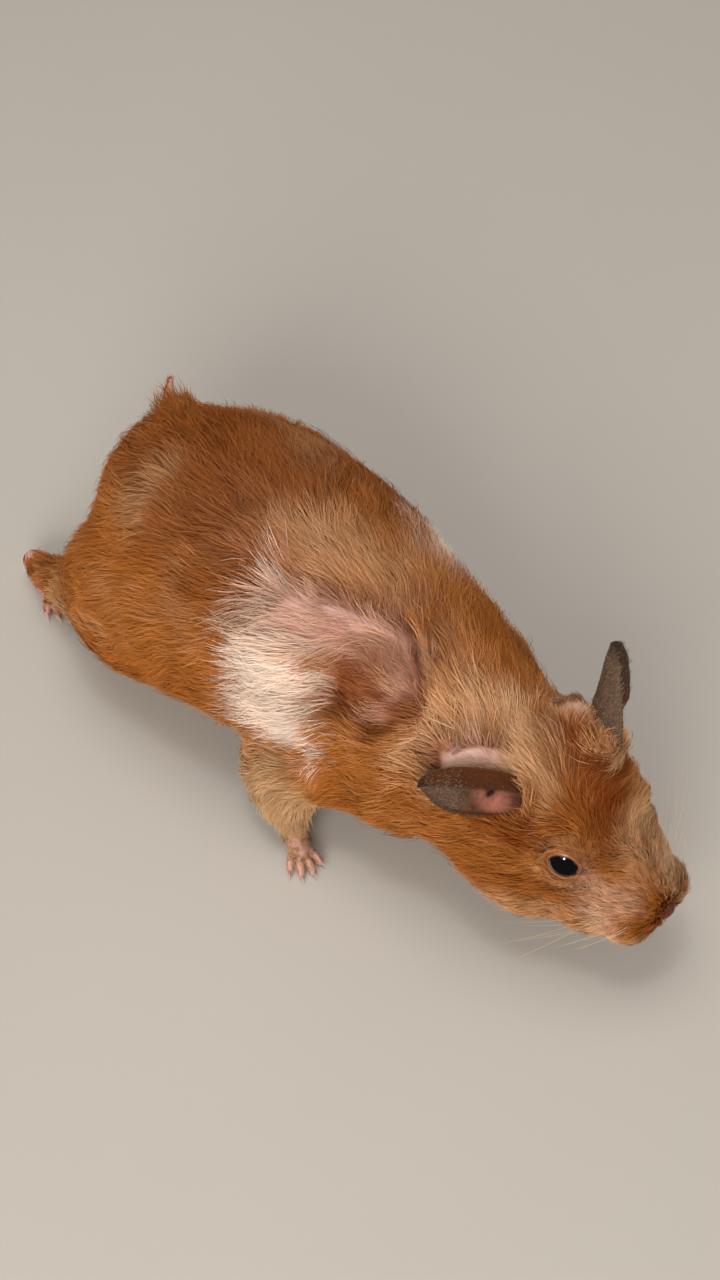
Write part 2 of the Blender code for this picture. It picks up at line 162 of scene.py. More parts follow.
camera = place("camera", bpy.data.cameras.new("camera"))
camera.data.angle = math.radians(VERTICAL_VIEW)
tilt, turn = math.radians(90 - CAMERA_ELEVATION), math.radians(CAMERA_AZIMUTH)
camera.rotation_euler = (tilt, 0.0, turn)
back = np.array([math.sin(turn) * math.sin(tilt), -math.cos(turn) * math.sin(tilt), math.cos(tilt)])
camera.location = (middle + CAMERA_AIM + back * CAMERA_DISTANCE) * MM
camera.data.clip_start = 0.01
bpy.context.scene.camera = camera


# ---- Landmarks and markings ------------------------------------------------------------------
# Where the parts of this animal lie, taken from the solids, and the pattern that its skin and its
# coat share: a white belt, a thin pink patch behind it, a rusty shoulder, a pale nape and a dark
# forehead on golden fur.

EYES_AHEAD, EYES_UP, NOSE_FALL = 23.6, 3.1, math.radians(19.3)


def centre_of(node):
    low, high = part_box(node)
    return (np.array(low) + np.array(high)) / 2 / MM


eye_centre = {side: centre_of(f"eye_{side}") for side in ("left", "right")}
nose_centre = centre_of("nose")
between_eyes = (eye_centre["left"] + eye_centre["right"]) / 2
head_left = unit(eye_centre["left"] - eye_centre["right"])
slope = unit(nose_centre - between_eyes)
slope_up = np.cross(slope, head_left)
head_ahead = slope * math.cos(NOSE_FALL) + slope_up * math.sin(NOSE_FALL)
head_up = np.cross(head_ahead, head_left)


def in_head(points):
    """The points in the head's frame: ahead of the neck joint, to the left and up."""
    away = points - between_eyes
    return np.stack(
        [away @ head_ahead + EYES_AHEAD, away @ head_left, away @ head_up + EYES_UP], axis=1
    )


def ramp(values, start, end):
    """0 before start, 1 after end and a smooth rise between them; end may be the lower."""
    t = np.clip((values - start) / (end - start), 0, 1)
    return t * t * (3 - 2 * t)


def ripple(points, size, seed):
    """Smooth noise from about -1 to 1 with swells about that many millimetres across."""
    rng = np.random.default_rng(seed)
    total = np.zeros(len(points))
    for _ in range(7):
        wave = unit(rng.normal(size=3)) * 2 * math.pi / size * rng.uniform(0.55, 1.7)
        total += np.sin(points @ wave + rng.uniform(0, 2 * math.pi))
    return total / 2.6


def spot(points, centre, radii, soft=0.3):
    """1 inside an oval, fading to 0 across its edge."""
    away = np.linalg.norm((points - np.array(centre)) / np.array(radii), axis=1)
    return ramp(away, 1 + soft, 1 - soft)


def stroke(points, path, radius, soft=0.4):
    """1 along a line through the points of a path, fading to 0 at the radius."""
    path = np.array(path, float)
    nearest = np.full(len(points), np.inf)
    for start, end in zip(path, path[1:]):
        step = end - start
        t = np.clip((points - start) @ step / (step @ step), 0, 1)[:, None]
        nearest = np.minimum(nearest, np.linalg.norm(points - start - t * step, axis=1))
    return ramp(nearest / radius, 1 + soft, 1 - soft)


def from_node(node, *offsets):
    """Places at offsets ahead, left and up from a solid's middle, taken to a tenth of a millimetre."""
    places = np.round(centre_of(node), 1) + np.array(offsets)
    return places[0] if len(offsets) == 1 else places


# The swelling on the right shoulder, its rim, its foot in front, and painted shade on the fur beyond that.
LUMP_CENTRE, LUMP_RADII = from_node("trunk", (19.5, -8.8, 12.6)), (8.0, 8.2, 8.0)
# The rim: bare pink skin, with a painted sheen along the swelling's edge.
LUMP_RIM = from_node("trunk", (20.9, -4.0, 16.4), (23.3, -6.6, 14.6), (23.9, -9.8, 12.4), (22.5, -12.6, 10.0))
LUMP_FRONT = from_node(
    "trunk", (19.6, 0.4, 17.0), (23.7, -1.1, 16.2), (26.7, -4.4, 14.4), (27.9, -9.4, 11.4), (26.5, -13.2, 8.0)
)
LUMP_SHADE = from_node(
    "trunk", (22.1, 0.8, 17.2), (26.7, -1.0, 16.0), (29.5, -4.8, 14.0), (30.5, -9.8, 11.0), (28.7, -13.8, 7.8)
)
# Thin pink patches: a band over the shoulders, one beside the swelling, and one behind each ear.
PINK_BAND = from_node(
    "trunk", (0.6, -11.0, 17.6), (5.6, -8.0, 18.0), (10.6, -6.4, 17.6), (16.1, -3.6, 17.2),
    (21.1, -3.2, 16.6), (22.9, -4.8, 15.4),
)
BESIDE_LUMP = from_node("trunk", (10.1, -11.8, 14.5), (11.1, -16.8, 10.0))
BEHIND_RIGHT_EAR = from_node(
    "neck", (4.4, -10.7, 12.7), (6.4, -8.3, 14.1), (8.8, -6.3, 15.3), (12.0, -5.3, 15.7)
)
BEHIND_LEFT_EAR = from_node("head", (-5.3, 9.9, 15.0), (-2.3, 10.1, 15.6))
CREASES = (  # arched folds of loose skin over the right ear
    from_node(
        "neck", (2.3, -10.0, 13.8), (3.0, -7.9, 15.0), (4.2, -6.1, 15.6), (5.7, -4.1, 16.0),
        (7.8, -2.9, 16.3), (10.9, -2.1, 16.6),
    ),
    from_node(
        "neck", (3.4, -9.6, 13.8), (4.0, -7.7, 14.9), (5.1, -6.0, 15.4), (6.4, -4.6, 15.9),
        (8.1, -3.7, 16.3), (10.8, -3.1, 16.3),
    ),
)
# The belt: heights over the floor, its middle and half width there, and what it fades across.
BELT_HEIGHTS = (22.0, 31.0, 37.0, 41.0, 45.0, 48.5)
BELT_MIDDLES = (5.0, 4.2, 3.2, 0.6, -3.0, -6.6)
BELT_HALVES = (5.4, 7.0, 7.0, 6.6, 5.0, 3.2)
BELT_START, BELT_FOOT, BELT_TOP = (-3.6, -7.4), (21.0, 25.5), (49.6, 46.4)
LEFT_BELT_MIDDLE, LEFT_BELT_LEAN, LEFT_BELT_WAIST = 5.0, 0.2, 32
LEFT_BELT_START, LEFT_BELT_FOOT, LEFT_BELT_TOP = (13.0, 17.0), (18.0, 23.0), (44.5, 39.5)
LEFT_TUFT = from_node("trunk", (9.6, 13.4, 16.4)), (3.6, 2.6, 3.0), 0.9
# Cream on the legs, the chin and round the eyes.
CREAM_HEIGHTS, CREAM_AHEAD_OF, ELBOW_RADII = (17.0, 11.5), (-62, -50), (9.0, 8.0, 7.0)
RIGHT_ELBOW = from_node("trunk", (10.1, -23.8, -15.0))
EYE_RING = (4.9, 4.9, 4.9)
PALE_NAPE = from_node(
    "neck", (0.3, -8.3, 15.9), (4.3, -3.5, 16.9), (8.8, -0.7, 16.9), (14.8, -1.7, 16.0), (19.0, -5.3, 14.1)
)
DARK_NAPE = from_node(
    "neck", (-14.7, 1.5, 20.6), (-8.8, -0.1, 19.0), (-4.2, -2.9, 17.9), (-2.0, -7.7, 16.0)
)
FOREHEAD_STRIPE = from_node(
    "head", (-0.1, 4.8, 16.0), (5.8, 3.9, 14.2), (10.3, 2.5, 11.6), (15.3, 0.5, 8.4)
)
# Strokes of each marking: how strong, their path, reach and softness.
PALE_STROKES = (
    (1.0, PALE_NAPE, 4.4, 0.7),
    (0.55, from_node("trunk", (-3.9, -0.8, 21.6), (4.1, 1.2, 20.8), (11.1, 5.0, 19.2)), 4.8, 0.8),
    (0.7, from_node("neck", (8.8, -12.1, 10.2), (1.8, -13.1, 9.7)), 3.0, 0.6),
)
PALE_SPOTS = (  # on the rump, and behind and before the left ear; the one behind is partly painted light
    (0.45, from_node("rump", (8.4, -10.9, 18.4)), (6.0, 6.0, 5.0), 0.8),
    # pale hair behind the left ear: partly its own colour, partly painted light over the shaded far side of
    # the fold
    (0.9, from_node("head", (-4.3, 11.3, 15.6)), (6.0, 6.0, 6.0), 0.4),
    (0.9, from_node("head", (5.7, 10.7, 17.0)), (4.0, 3.6, 4.0), 0.6),
)
PALE_SNOUT = (  # the bridge of the snout and its far side, in the head's frame
    (0.5, ((29.6, 2.3, 6.5), (34.6, 0.5, 4.2)), 3.6, 0.8),
    (0.95, ((28.5, 4.0, 7.0), (32.5, 3.0, 4.7), (37.6, 4.4, 0.3), (41.0, 4.6, -2.4)), 3.4, 0.6),
)
DARK_STROKES = (  # forehead, between the ears, nape, left side of the back, painted shade beyond the swelling's foot, creases
    (0.9, FOREHEAD_STRIPE, 4.6, 0.5),
    (0.7, from_node("head", (1.5, -2.7, 15.5), (6.3, -1.1, 14.4)), 4.4, 0.6),
    (0.95, DARK_NAPE, 3.2, 0.6),
    # dark fur on the far side of the back, darkened further with painted shade
    (0.55, from_node("trunk", (-21.9, 19.2, 13.6), (-10.7, 21.2, 12.8), (-2.3, 18.8, 14.0)), 6.0, 0.7),
    # painted shade on the fur beyond the foot of the swelling
    (1.0, LUMP_SHADE, 3.0, 0.6),
    # painted shade along the creases over the right ear
    *((0.7, path, 0.45, 0.6) for path in CREASES),
)
BY_EAR_STROKES = (  # the shade in front of the right ear, and below it
    (1.0, from_node("head", (2.9, -7.7, 13.4), (5.3, -8.3, 12.2), (7.7, -8.9, 10.8)), 3.0, 0.5),
    (1.0, from_node("head", (0.5, -14.1, 9.8), (4.3, -12.3, 9.8), (7.5, -9.9, 10.2)), 3.4, 0.5),
)
PINK_SNOUT = (0.65, ((28.0, 8.8, 2.0), (33.0, 7.8, 0.6), (36.5, 5.6, 0.0)), 3.0, 0.7)  # the head's frame
PINK_LIP = (34.9, 8.6, -3.8), (3.8, 2.8, 3.0), 0.7
NOSE_SMUDGE = (41.2, -3.6, -2.6), (3.6, 2.6, 3.4), 0.7


def strongest(points, strokes, form=stroke):
    """The strongest of several strokes or spots at each point."""
    return np.maximum.reduce([strength * form(points, *rest) for strength, *rest in strokes])


def bare_behind_ears(points):
    """1 on the bare skin behind each ear, fading to 0 round it."""
    right = stroke(points, BEHIND_RIGHT_EAR, 2.5, 0.8)
    return np.maximum(right, stroke(points, BEHIND_LEFT_EAR, 2.9, 0.4))


def belt(points, torn):
    """1 on the white belt of each side, with ragged edges."""
    x, y, z = points.T
    across = np.abs(x - np.interp(z, BELT_HEIGHTS, BELT_MIDDLES))
    across = across - np.interp(z, BELT_HEIGHTS, BELT_HALVES)
    right = ramp(across + 1.5 * torn, 2.2, -1.8) * ramp(y + 0.5 * torn, *BELT_START)
    right = right * ramp(z + torn, *BELT_FOOT) * ramp(z + 0.8 * torn, *BELT_TOP)
    across = np.abs(x - LEFT_BELT_MIDDLE + LEFT_BELT_LEAN * (z - LEFT_BELT_WAIST))
    left = ramp(y, *LEFT_BELT_START) * ramp(z + 1.6 * torn, *LEFT_BELT_TOP)
    return right + ramp(across + 1.5 * torn, 7.0, 3.5) * left * ramp(z + torn, *LEFT_BELT_FOOT)


def cream_of(points, head, torn):
    """1 on the cream of the lower legs, the right elbow and the chin, and a little round the eyes."""
    x, _, z = points.T
    legs = ramp(z + 1.5 * torn, *CREAM_HEIGHTS) * ramp(x, *CREAM_AHEAD_OF)
    chin = 0.8 * ramp(head[:, 2], -10.5, -14.5) * ramp(head[:, 0], 4.0, 12.0)
    rings = [0.32 * spot(points, centre, EYE_RING, 0.3) for centre in eye_centre.values()]
    return np.maximum.reduce([legs, spot(points, RIGHT_ELBOW, ELBOW_RADII), chin, *rings])


def markings(points):
    """How far each marking holds at each point, from 0 to 1."""
    x, _, z = points.T
    head = in_head(points)
    ahead, high = head[:, 0], head[:, 2]
    even = head * np.where(head[:, 1:2] < 0, (1, -1, 1), (1, 1, 1))  # both sides of the face alike
    torn = ripple(points, 5.0, 3) + 0.6 * ripple(points, 1.6, 4)  # fur edges are ragged
    broad, fine = ripple(points, 13.0, 21), ripple(points, 4.5, 22)
    tuft = spot(points, *LEFT_TUFT)
    white = np.clip(belt(points, torn) + 0.3 * tuft, 0, 1)
    lump = spot(points + 0.5 * torn[:, None], LUMP_CENTRE, LUMP_RADII, 0.3)
    # bare skin at the swelling's rim, lightened as a painted sheen
    rim = 0.7 * stroke(points, LUMP_RIM, 1.8, 0.7)
    band = stroke(points, PINK_BAND, 4.6, 0.5)
    ears = bare_behind_ears(points)
    snout = np.maximum(strongest(even, [PINK_SNOUT]), spot(even, *PINK_LIP))
    bare = np.maximum.reduce([0.9 * band, 0.45 * stroke(points, BESIDE_LUMP, 3.0, 0.8), ears, snout])
    by_ear = strongest(points, BY_EAR_STROKES)
    pale = [
        strongest(points, PALE_STROKES),
        strongest(points, PALE_SPOTS, spot),
        strongest(head, PALE_SNOUT),
        0.7 * ears,
        0.5 * tuft,
        0.9 * ramp(high, -4.6, -7.4) * ramp(ahead, 33, 37),  # the lips
        0.5 * ramp(high, -4.0, -8.5) * ramp(ahead, 14, 22) * ramp(ahead, 36, 30),  # the jaw
        0.22 * ramp(broad + 0.5 * fine, 0.1, 1.5) * ramp(ahead, 30, 24),  # faint clouds all over
    ]
    pale = np.maximum.reduce(pale) * (1 - 0.95 * by_ear)
    # Dark fur, with painted shade beyond the swelling, in the creases, by the right ear and on the far back.
    dark = [
        strongest(points, DARK_STROKES),
        by_ear,
        0.62 * ramp(z, 38.0, 45.0) * ramp(x, 12.0, -20.0),  # the saddle
        0.2 * spot(head, *NOSE_SMUDGE),
        0.35 * ramp(-broad + 0.4 * fine, 0.4, 1.6),
    ]
    dark = np.maximum.reduce(dark) * (1 - white) * (1 - 0.9 * ears) * (1 - 0.7 * bare)
    return {
        "white": white * (1 - 0.95 * lump) * (1 - 0.6 * band),
        "cream": cream_of(points, head, torn) * (1 - white),
        "pale": pale * (1 - lump),
        "dark": dark * (1 - pale * (ahead > 0)),
        "rust": lump * (1 - 0.5 * rim),
        "bare": np.maximum(bare * (1 - 0.75 * lump), rim),
    }


# ---- Skin ------------------------------------------------------------------------------------
# One closed hide over head, body, legs and tail, with the four paws grown on at the wrists. It
# lies inside the solids by the depth of the coat. Where the hair is thin it shows pink, finely
# wrinkled; elsewhere it has the colour of the roots of the hair.
# Painted shade darkens it in the mouth, along the lips and in the creases over the right ear.

FLESH = ("head", "muzzle", "nose", "neck", "trunk", "rump", "tail")
LEGS = ("foreleg_left", "foreleg_right", "hindleg_left", "hindleg_right")
HIDE_VOXEL, HIDE_GROWTH, HIDE_SMOOTHING = 0.42, 0.3, 5
PAW_VOXEL, PAW_SMOOTHING = 0.2, 3
Surface = namedtuple("Surface", "points normals faces tree")
Paw = namedtuple("Paw", "heading length width toe_lengths claw")
PAWS = {
    "forepaw_right": Paw(-24, 5.6, 5.2, (2.8, 3.7, 3.7, 2.8), 1.2),
    "forepaw_left": Paw(8, 5.6, 5.2, (2.8, 3.7, 3.7, 2.8), 1.2),
    "hindfoot_right": Paw(-6, 12.6, 5.6, (2.8, 4.0, 4.4, 4.0, 2.8), 1.4),
    "hindfoot_left": Paw(8, 12.6, 5.6, (2.8, 4.0, 4.4, 4.0, 2.8), 1.4),
}
TOE_RADIUS, TOE_SPREAD, TOE_HEIGHT = 0.8, 15.0, 1.35


def mesh_of(name, points, faces):
    """A smooth mesh from points in millimetres and faces that all have as many corners."""
    mesh = bpy.data.meshes.new(name)
    count, sides = faces.shape
    mesh.vertices.add(len(points))
    mesh.vertices.foreach_set("co", (points * MM).astype(np.float32).ravel())
    mesh.loops.add(count * sides)
    mesh.loops.foreach_set("vertex_index", faces.astype(np.int32).ravel())
    mesh.polygons.add(count)
    mesh.polygons.foreach_set("loop_start", np.arange(0, count * sides, sides, dtype=np.int32))
    mesh.update(calc_edges=True)
    mesh.polygons.foreach_set("use_smooth", np.ones(count, bool))
    return mesh


def arrays_of(mesh):
    """The points in millimetres and the faces of a mesh of quads or triangles."""
    points = np.empty(len(mesh.vertices) * 3, np.float32)
    mesh.vertices.foreach_get("co", points)
    corners = np.empty(len(mesh.loops), np.int32)
    mesh.loops.foreach_get("vertex_index", corners)
    return points.reshape(-1, 3).astype(float) / MM, corners.reshape(len(mesh.polygons), -1)


def normals_of(points, faces):
    """The outward normal at each point."""
    a, b = points[faces[:, 2]] - points[faces[:, 0]], points[faces[:, -1]] - points[faces[:, 1]]
    flat = np.cross(a, b)
    total = np.stack(
        [
            np.bincount(faces.ravel(), np.repeat(flat[:, k], faces.shape[1]), len(points))
            for k in range(3)
        ],
        axis=1,
    )
    return unit(total)


def eased(values, faces, rounds):
    """Values at the points of a mesh, each averaged with its neighbours that many times."""
    values = np.asarray(values, float)
    if values.ndim > 1:
        return np.stack([eased(column, faces, rounds) for column in values.T], axis=1)
    meeting = np.bincount(faces.ravel(), minlength=len(values))
    for _ in range(rounds):
        shared = np.repeat(values[faces].mean(axis=1), faces.shape[1])
        values = np.bincount(faces.ravel(), shared, len(values)) / np.maximum(meeting, 1)
    return values


def surface_of(points, faces):
    """A mesh with its normals and a search tree over its points."""
    tree = KDTree(len(points))
    for i, point in enumerate(points.tolist()):
        tree.insert(point, i)
    tree.balance()
    return Surface(points, normals_of(points, faces), faces, tree)


def fused(mesh, voxel, smoothing, growth=0.0):
    """Overlapping shapes as one closed skin of small quads."""
    work = place("fused", mesh)
    grow = work.modifiers.new("grow", "DISPLACE")
    grow.mid_level, grow.strength = 0.0, growth * MM
    remesh = work.modifiers.new("remesh", "REMESH")
    remesh.mode, remesh.voxel_size = "VOXEL", voxel * MM
    smooth = work.modifiers.new("smooth", "SMOOTH")
    smooth.factor, smooth.iterations = 0.5, smoothing
    graph = bpy.context.evaluated_depsgraph_get()
    made = bpy.data.meshes.new_from_object(work.evaluated_get(graph))
    bpy.data.objects.remove(work)
    return arrays_of(made)


def closeness(points, node, reach):
    """1 on a solid's surface, falling to 0 at the reach."""
    solid = frame["nodes"][node].data
    corners, polygons = [v.co / MM for v in solid.vertices], [p.vertices for p in solid.polygons]
    tree = BVHTree.FromPolygons(corners, polygons)
    low, high = (np.array(corner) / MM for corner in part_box(node))
    away = np.full(len(points), float(reach))
    inside = np.all((points > low - reach) & (points < high + reach), axis=1)
    for i in np.flatnonzero(inside):
        hit = tree.find_nearest(points[i], reach)
        if hit[3] is not None:
            away[i] = hit[3]
    return ramp(away, reach, 0.0)


def chain(bm, places, radii, step=0.35):
    """Close-set balls along a line, as one limb."""
    for i in range(len(places) - 1):
        start, end = Vector(places[i]), Vector(places[i + 1])
        count = max(1, math.ceil((end - start).length / step))
        for k in range(count + 1):
            t = k / count
            radius = radii[i] + (radii[i + 1] - radii[i]) * t
            spread = Matrix.Translation(start.lerp(end, t) * MM) @ Matrix.Scale(radius * MM, 4)
            bmesh.ops.create_icosphere(bm, subdivisions=2, radius=1.0, matrix=spread)


def toes_of(name):
    """Root, knuckle and tip of each toe of a paw, on the floor where the solids have it."""
    paw, sole = PAWS[name], sole_of[name]
    turn = Matrix.Rotation(math.radians(paw.heading), 3, "Z")
    count = len(paw.toe_lengths)
    for i, length in enumerate(paw.toe_lengths):
        share = i / (count - 1) - 0.5
        angle = math.radians(-share * TOE_SPREAD * (count - 1))
        ahead = turn @ Vector((math.cos(angle), math.sin(angle), 0.0))
        start = Vector((paw.length * 0.36 - abs(share) * 1.4, -share * paw.width * 0.74, 0.0))
        root = sole + turn @ start + Vector((0, 0, TOE_HEIGHT + 0.1))
        knuckle = root + ahead * length * 0.5 + Vector((0, 0, 0.4))
        tip = root + ahead * length - Vector((0, 0, 0.5))
        yield root, knuckle, tip, ahead


def paw_form(name):
    """Sole, wrist, pads and toes of one paw as overlapping balls."""
    paw, sole = PAWS[name], sole_of[name]
    turn = Matrix.Rotation(math.radians(paw.heading), 4, "Z")
    bm = bmesh.new()
    for centre, radii in (
        ((0, 0, 1.9), (paw.length / 2, paw.width * 0.41, 1.75)),
        ((-paw.length * 0.3, 0, 3.3), (2.5, 2.1, 2.6)),
        ((-paw.length * 0.3, 0, 5.2), (2.1, 1.9, 2.4)),
        ((paw.length * 0.24, paw.width * 0.2, 0.95), (1.3, 1.0, 0.85)),
        ((paw.length * 0.24, -paw.width * 0.2, 0.95), (1.3, 1.0, 0.85)),
        ((-paw.length * 0.1, paw.width * 0.2, 0.95), (1.3, 1.0, 0.85)),
    ):
        spread = Matrix.Diagonal((*[r * MM for r in radii], 1.0))
        spot_at = Matrix.Translation(sole * MM) @ turn @ Matrix.Translation(Vector(centre) * MM)
        bmesh.ops.create_icosphere(bm, subdivisions=3, radius=1.0, matrix=spot_at @ spread)
    for root, knuckle, tip, _ in toes_of(name):
        pad = tip - Vector((0, 0, 0.15))
        radii = (TOE_RADIUS, TOE_RADIUS * 0.86, TOE_RADIUS * 0.92, TOE_RADIUS * 0.8)
        chain(bm, (root, root.lerp(knuckle, 0.6), knuckle, pad), radii)
    mesh = bpy.data.meshes.new(name)
    bm.to_mesh(mesh)
    bm.free()
    return mesh


sole_of = {}
for mount in frame["record"]["mounts"]:
    name = mount["name"].replace("_sole", "")
    if name in PAWS:
        sole_of[name] = Vector(mount["pos_m"]) / MM

# The fleshy root that the left ear stands on, the loose fold behind it, and the eyes' own bulge.
EAR_ROOTS = (
    (from_node("head", (1.5, 8.7, 12.9)), (6.6, 4.6, 5.9)),
    (from_node("head", (-3.7, 10.1, 13.6)), (3.9, 3.4, 3.9)),
)
EYE_RADIUS, EYE_SUNK = 3.42, {"right": 0.25, "left": 0.8}
eye_outward = {"right": unit((0.294, -0.492, 0.795)), "left": unit((0.349, -0.742, 0.563))}
eye_outward["left"] = eye_outward["left"] - 2 * (eye_outward["left"] @ head_left) * head_left
ball_centre = {side: eye_centre[side] - eye_outward[side] * EYE_SUNK[side] for side in eye_centre}

shell = bmesh.new()
for centre, radii in EAR_ROOTS + tuple((c, (EYE_RADIUS - 0.12,) * 3) for c in ball_centre.values()):
    form = Matrix.Translation(Vector(centre) * MM) @ Matrix.Diagonal((*[r * MM for r in radii], 1.0))
    bmesh.ops.create_icosphere(shell, subdivisions=4, radius=1.0, matrix=form)
for node in FLESH + LEGS:
    piece = bmesh.new()
    piece.from_mesh(frame["nodes"][node].data)
    bmesh.ops.remove_doubles(piece, verts=piece.verts, dist=0.001 * MM)
    bmesh.ops.recalc_face_normals(piece, faces=piece.faces)
    flat = bpy.data.meshes.new(node)
    piece.to_mesh(flat)
    piece.free()
    shell.from_mesh(flat)
whole = bpy.data.meshes.new("whole")
shell.to_mesh(whole)
shell.free()
outer, hide_faces = fused(whole, HIDE_VOXEL, HIDE_SMOOTHING, HIDE_GROWTH)

# The mouth, from below the nose back along each lip, in the head's frame: ahead, left and up.
MOUTH = [(43.2, 0, -5.2), (43.0, 0, -8.2)]
LIP = [(43.0, 0.0, -8.2), (42.0, 2.6, -9.0), (40.0, 5.2, -10.0), (37.0, 7.4, -10.8)]
LIPS = [LIP, [(forth, -aside, up) for forth, aside, up in LIP]]


def toward(values, wanted, share):
    """The values, drawn towards the wanted ones by a share."""
    return values + (wanted - values) * share


# How deep the coat is at each point of the hide: deepest on the body, least on face and paws.
DEEP = {
    "body": 3.0, "bare": 1.4, "nose": 0.9, "ears": 0.7, "ear roots": 0.5, "eyes": 0.4, "lump": 0.4,
    "tail": 0.3,
}
head = in_head(outer)
ahead, high = head[:, 0], outer[:, 2]
leg = np.maximum.reduce([closeness(outer, node, 5.0) for node in LEGS])
tail_near = closeness(outer, "tail", 3.0)
marks = markings(outer)
on_body = ramp(ahead, 4, 0)
depth = DEEP["body"] - 0.9 * ramp(ahead, -4, 10) - 0.8 * ramp(ahead, 12, 26)
depth -= 0.7 * ramp(ahead, 27, 36)
depth += spot(head, (35.0, 5.0, 3.0), (6.0, 4.0, 4.0), 0.6)  # the far side of the snout
depth = np.where(ahead < 0, np.minimum(depth, DEEP["body"] - 1.7 * leg), depth)
for side in eye_centre:
    depth = toward(depth, DEEP["eyes"], spot(outer, eye_centre[side], (5.6, 5.6, 5.6), 0.25))
depth = toward(depth, DEEP["tail"], tail_near)
depth = depth - 0.7 * ramp(high, 12.0, 8.0) * leg
depth = toward(depth, DEEP["bare"], np.clip(marks["bare"] * 1.2, 0, 1) * ramp(ahead, 20, 0))
depth = toward(depth, DEEP["bare"], marks["rust"] * on_body)
swelling = spot(outer, from_node("trunk", (20.5, -8.0, 13.4)), (9.0, 8.6, 8.0), 0.6)
depth = toward(depth, DEEP["lump"], swelling * on_body)
depth = toward(depth, DEEP["ears"], bare_behind_ears(outer))
for centre, radii in EAR_ROOTS:
    depth = toward(depth, DEEP["ear roots"], spot(outer, centre, np.array(radii) + 0.6, 0.3))
nose_near = ramp(np.linalg.norm(outer - nose_centre, axis=1), 4.0, 2.2)
depth = toward(depth, DEEP["nose"], nose_near)
depth = eased(depth, hide_faces, 6)
depth = depth + 1.9 * stroke(outer, LUMP_FRONT, 1.5, 0.6) * on_body
lip_line = np.maximum.reduce([stroke(head, path, 0.55, 0.7) for path in [MOUTH, *LIPS]])
depth = depth + 0.6 * lip_line
creases = np.maximum.reduce([stroke(outer, path, 0.5, 0.6) for path in CREASES])
depth = depth + 0.35 * creases
hide = outer - normals_of(outer, hide_faces) * (HIDE_GROWTH + depth)[:, None]
soften = (ramp(depth, 0.9, 1.8) * (1 - lip_line) * (1 - creases))[:, None]
hide = hide + (eased(hide, hide_faces, 8) - hide) * soften

# The forelegs narrow to the wrists.
for name in ("forepaw_left", "forepaw_right"):
    turn_by = math.radians(PAWS[name].heading)
    behind_toes = np.array((math.cos(turn_by), math.sin(turn_by))) * 0.3 * PAWS[name].length
    wrist_at = np.array(sole_of[name])[:2] - behind_toes
    off = hide[:, :2] - wrist_at
    narrowed = 0.42 * ramp(hide[:, 2], 12.0, 6.0) * leg * ramp(np.linalg.norm(off, axis=1), 10.0, 8.0)
    hide[:, :2] = wrist_at + off * (1 - narrowed)[:, None]

paw_parts = [fused(paw_form(name), PAW_VOXEL, PAW_SMOOTHING) for name in PAWS]
skin_points, skin_faces, skin_depth = hide, hide_faces, depth
for points, faces in paw_parts:
    skin_faces = np.vstack([skin_faces, faces + len(skin_points)])
    points[:, 2] = np.maximum(points[:, 2], 0.02)
    skin_points = np.vstack([skin_points, points])
    skin_depth = np.concatenate([skin_depth, np.full(len(points), 0.25)])
is_paw = np.arange(len(skin_points)) >= len(hide)
skin_surface = surface_of(skin_points, skin_faces)

MARKS_A, MARKS_B = ("white", "cream", "pale"), ("dark", "rust", "bare")
FUR = {  # colour of the hair's root and of its tip
    "golden": ("#8c4511", "#b86e2c"),
    "dark": ("#582407", "#803806"),
    "pale": ("#b87d50", "#ecbc8e"),
    "cream": ("#9e7048", "#d0a67a"),
    "rust": ("#7e4222", "#98542e"),
    "bare": ("#c08470", "#e6bb9c"),
    "white": ("#eac6ae", "#fdebdb"),
}
PINK_SKIN, VEINED_SKIN, PALE_SKIN, LUMP_SKIN, WRINKLE = "#dcab9c", "#cb9084", "#edc4ae", "#9a5a3a", 0.45


def keep(mesh, name, values):
    """Stores a number or a vector for each point of a mesh, for its material."""
    kind, field = ("FLOAT", "value") if values.ndim == 1 else ("FLOAT_VECTOR", "vector")
    mesh.attributes.new(name, kind, "POINT").data.foreach_set(field, values.astype(np.float32).ravel())


def keep_marks(mesh, found):
    keep(mesh, "marks_a", np.stack([found[name] for name in MARKS_A], axis=1))
    keep(mesh, "marks_b", np.stack([found[name] for name in MARKS_B], axis=1))


def parts_of(tree, name):
    """The three outputs of a vector kept on the mesh."""
    kept = add(tree, "Attribute", attribute_name=name)
    return add(tree, "SeparateXYZ", {0: kept.outputs["Vector"]}).outputs


def blend_of(tree, share, first, second, mode="MIX"):
    """A mix of two colours by a share."""
    mixed = add(tree, "Mix", {0: share, 6: first, 7: second}, data_type="RGBA", blend_type=mode)
    return mixed.outputs[2]


def fur_colour(tree, end):
    """The colour of the hair's root (0) or tip (1), with the markings on it."""
    shares = dict(zip(MARKS_A, parts_of(tree, "marks_a")))
    shares.update(zip(MARKS_B, parts_of(tree, "marks_b")))
    colour = linear(FUR["golden"][end])
    for name in list(FUR)[1:]:
        colour = blend_of(tree, shares[name], colour, linear(FUR[name][end]))
    return colour


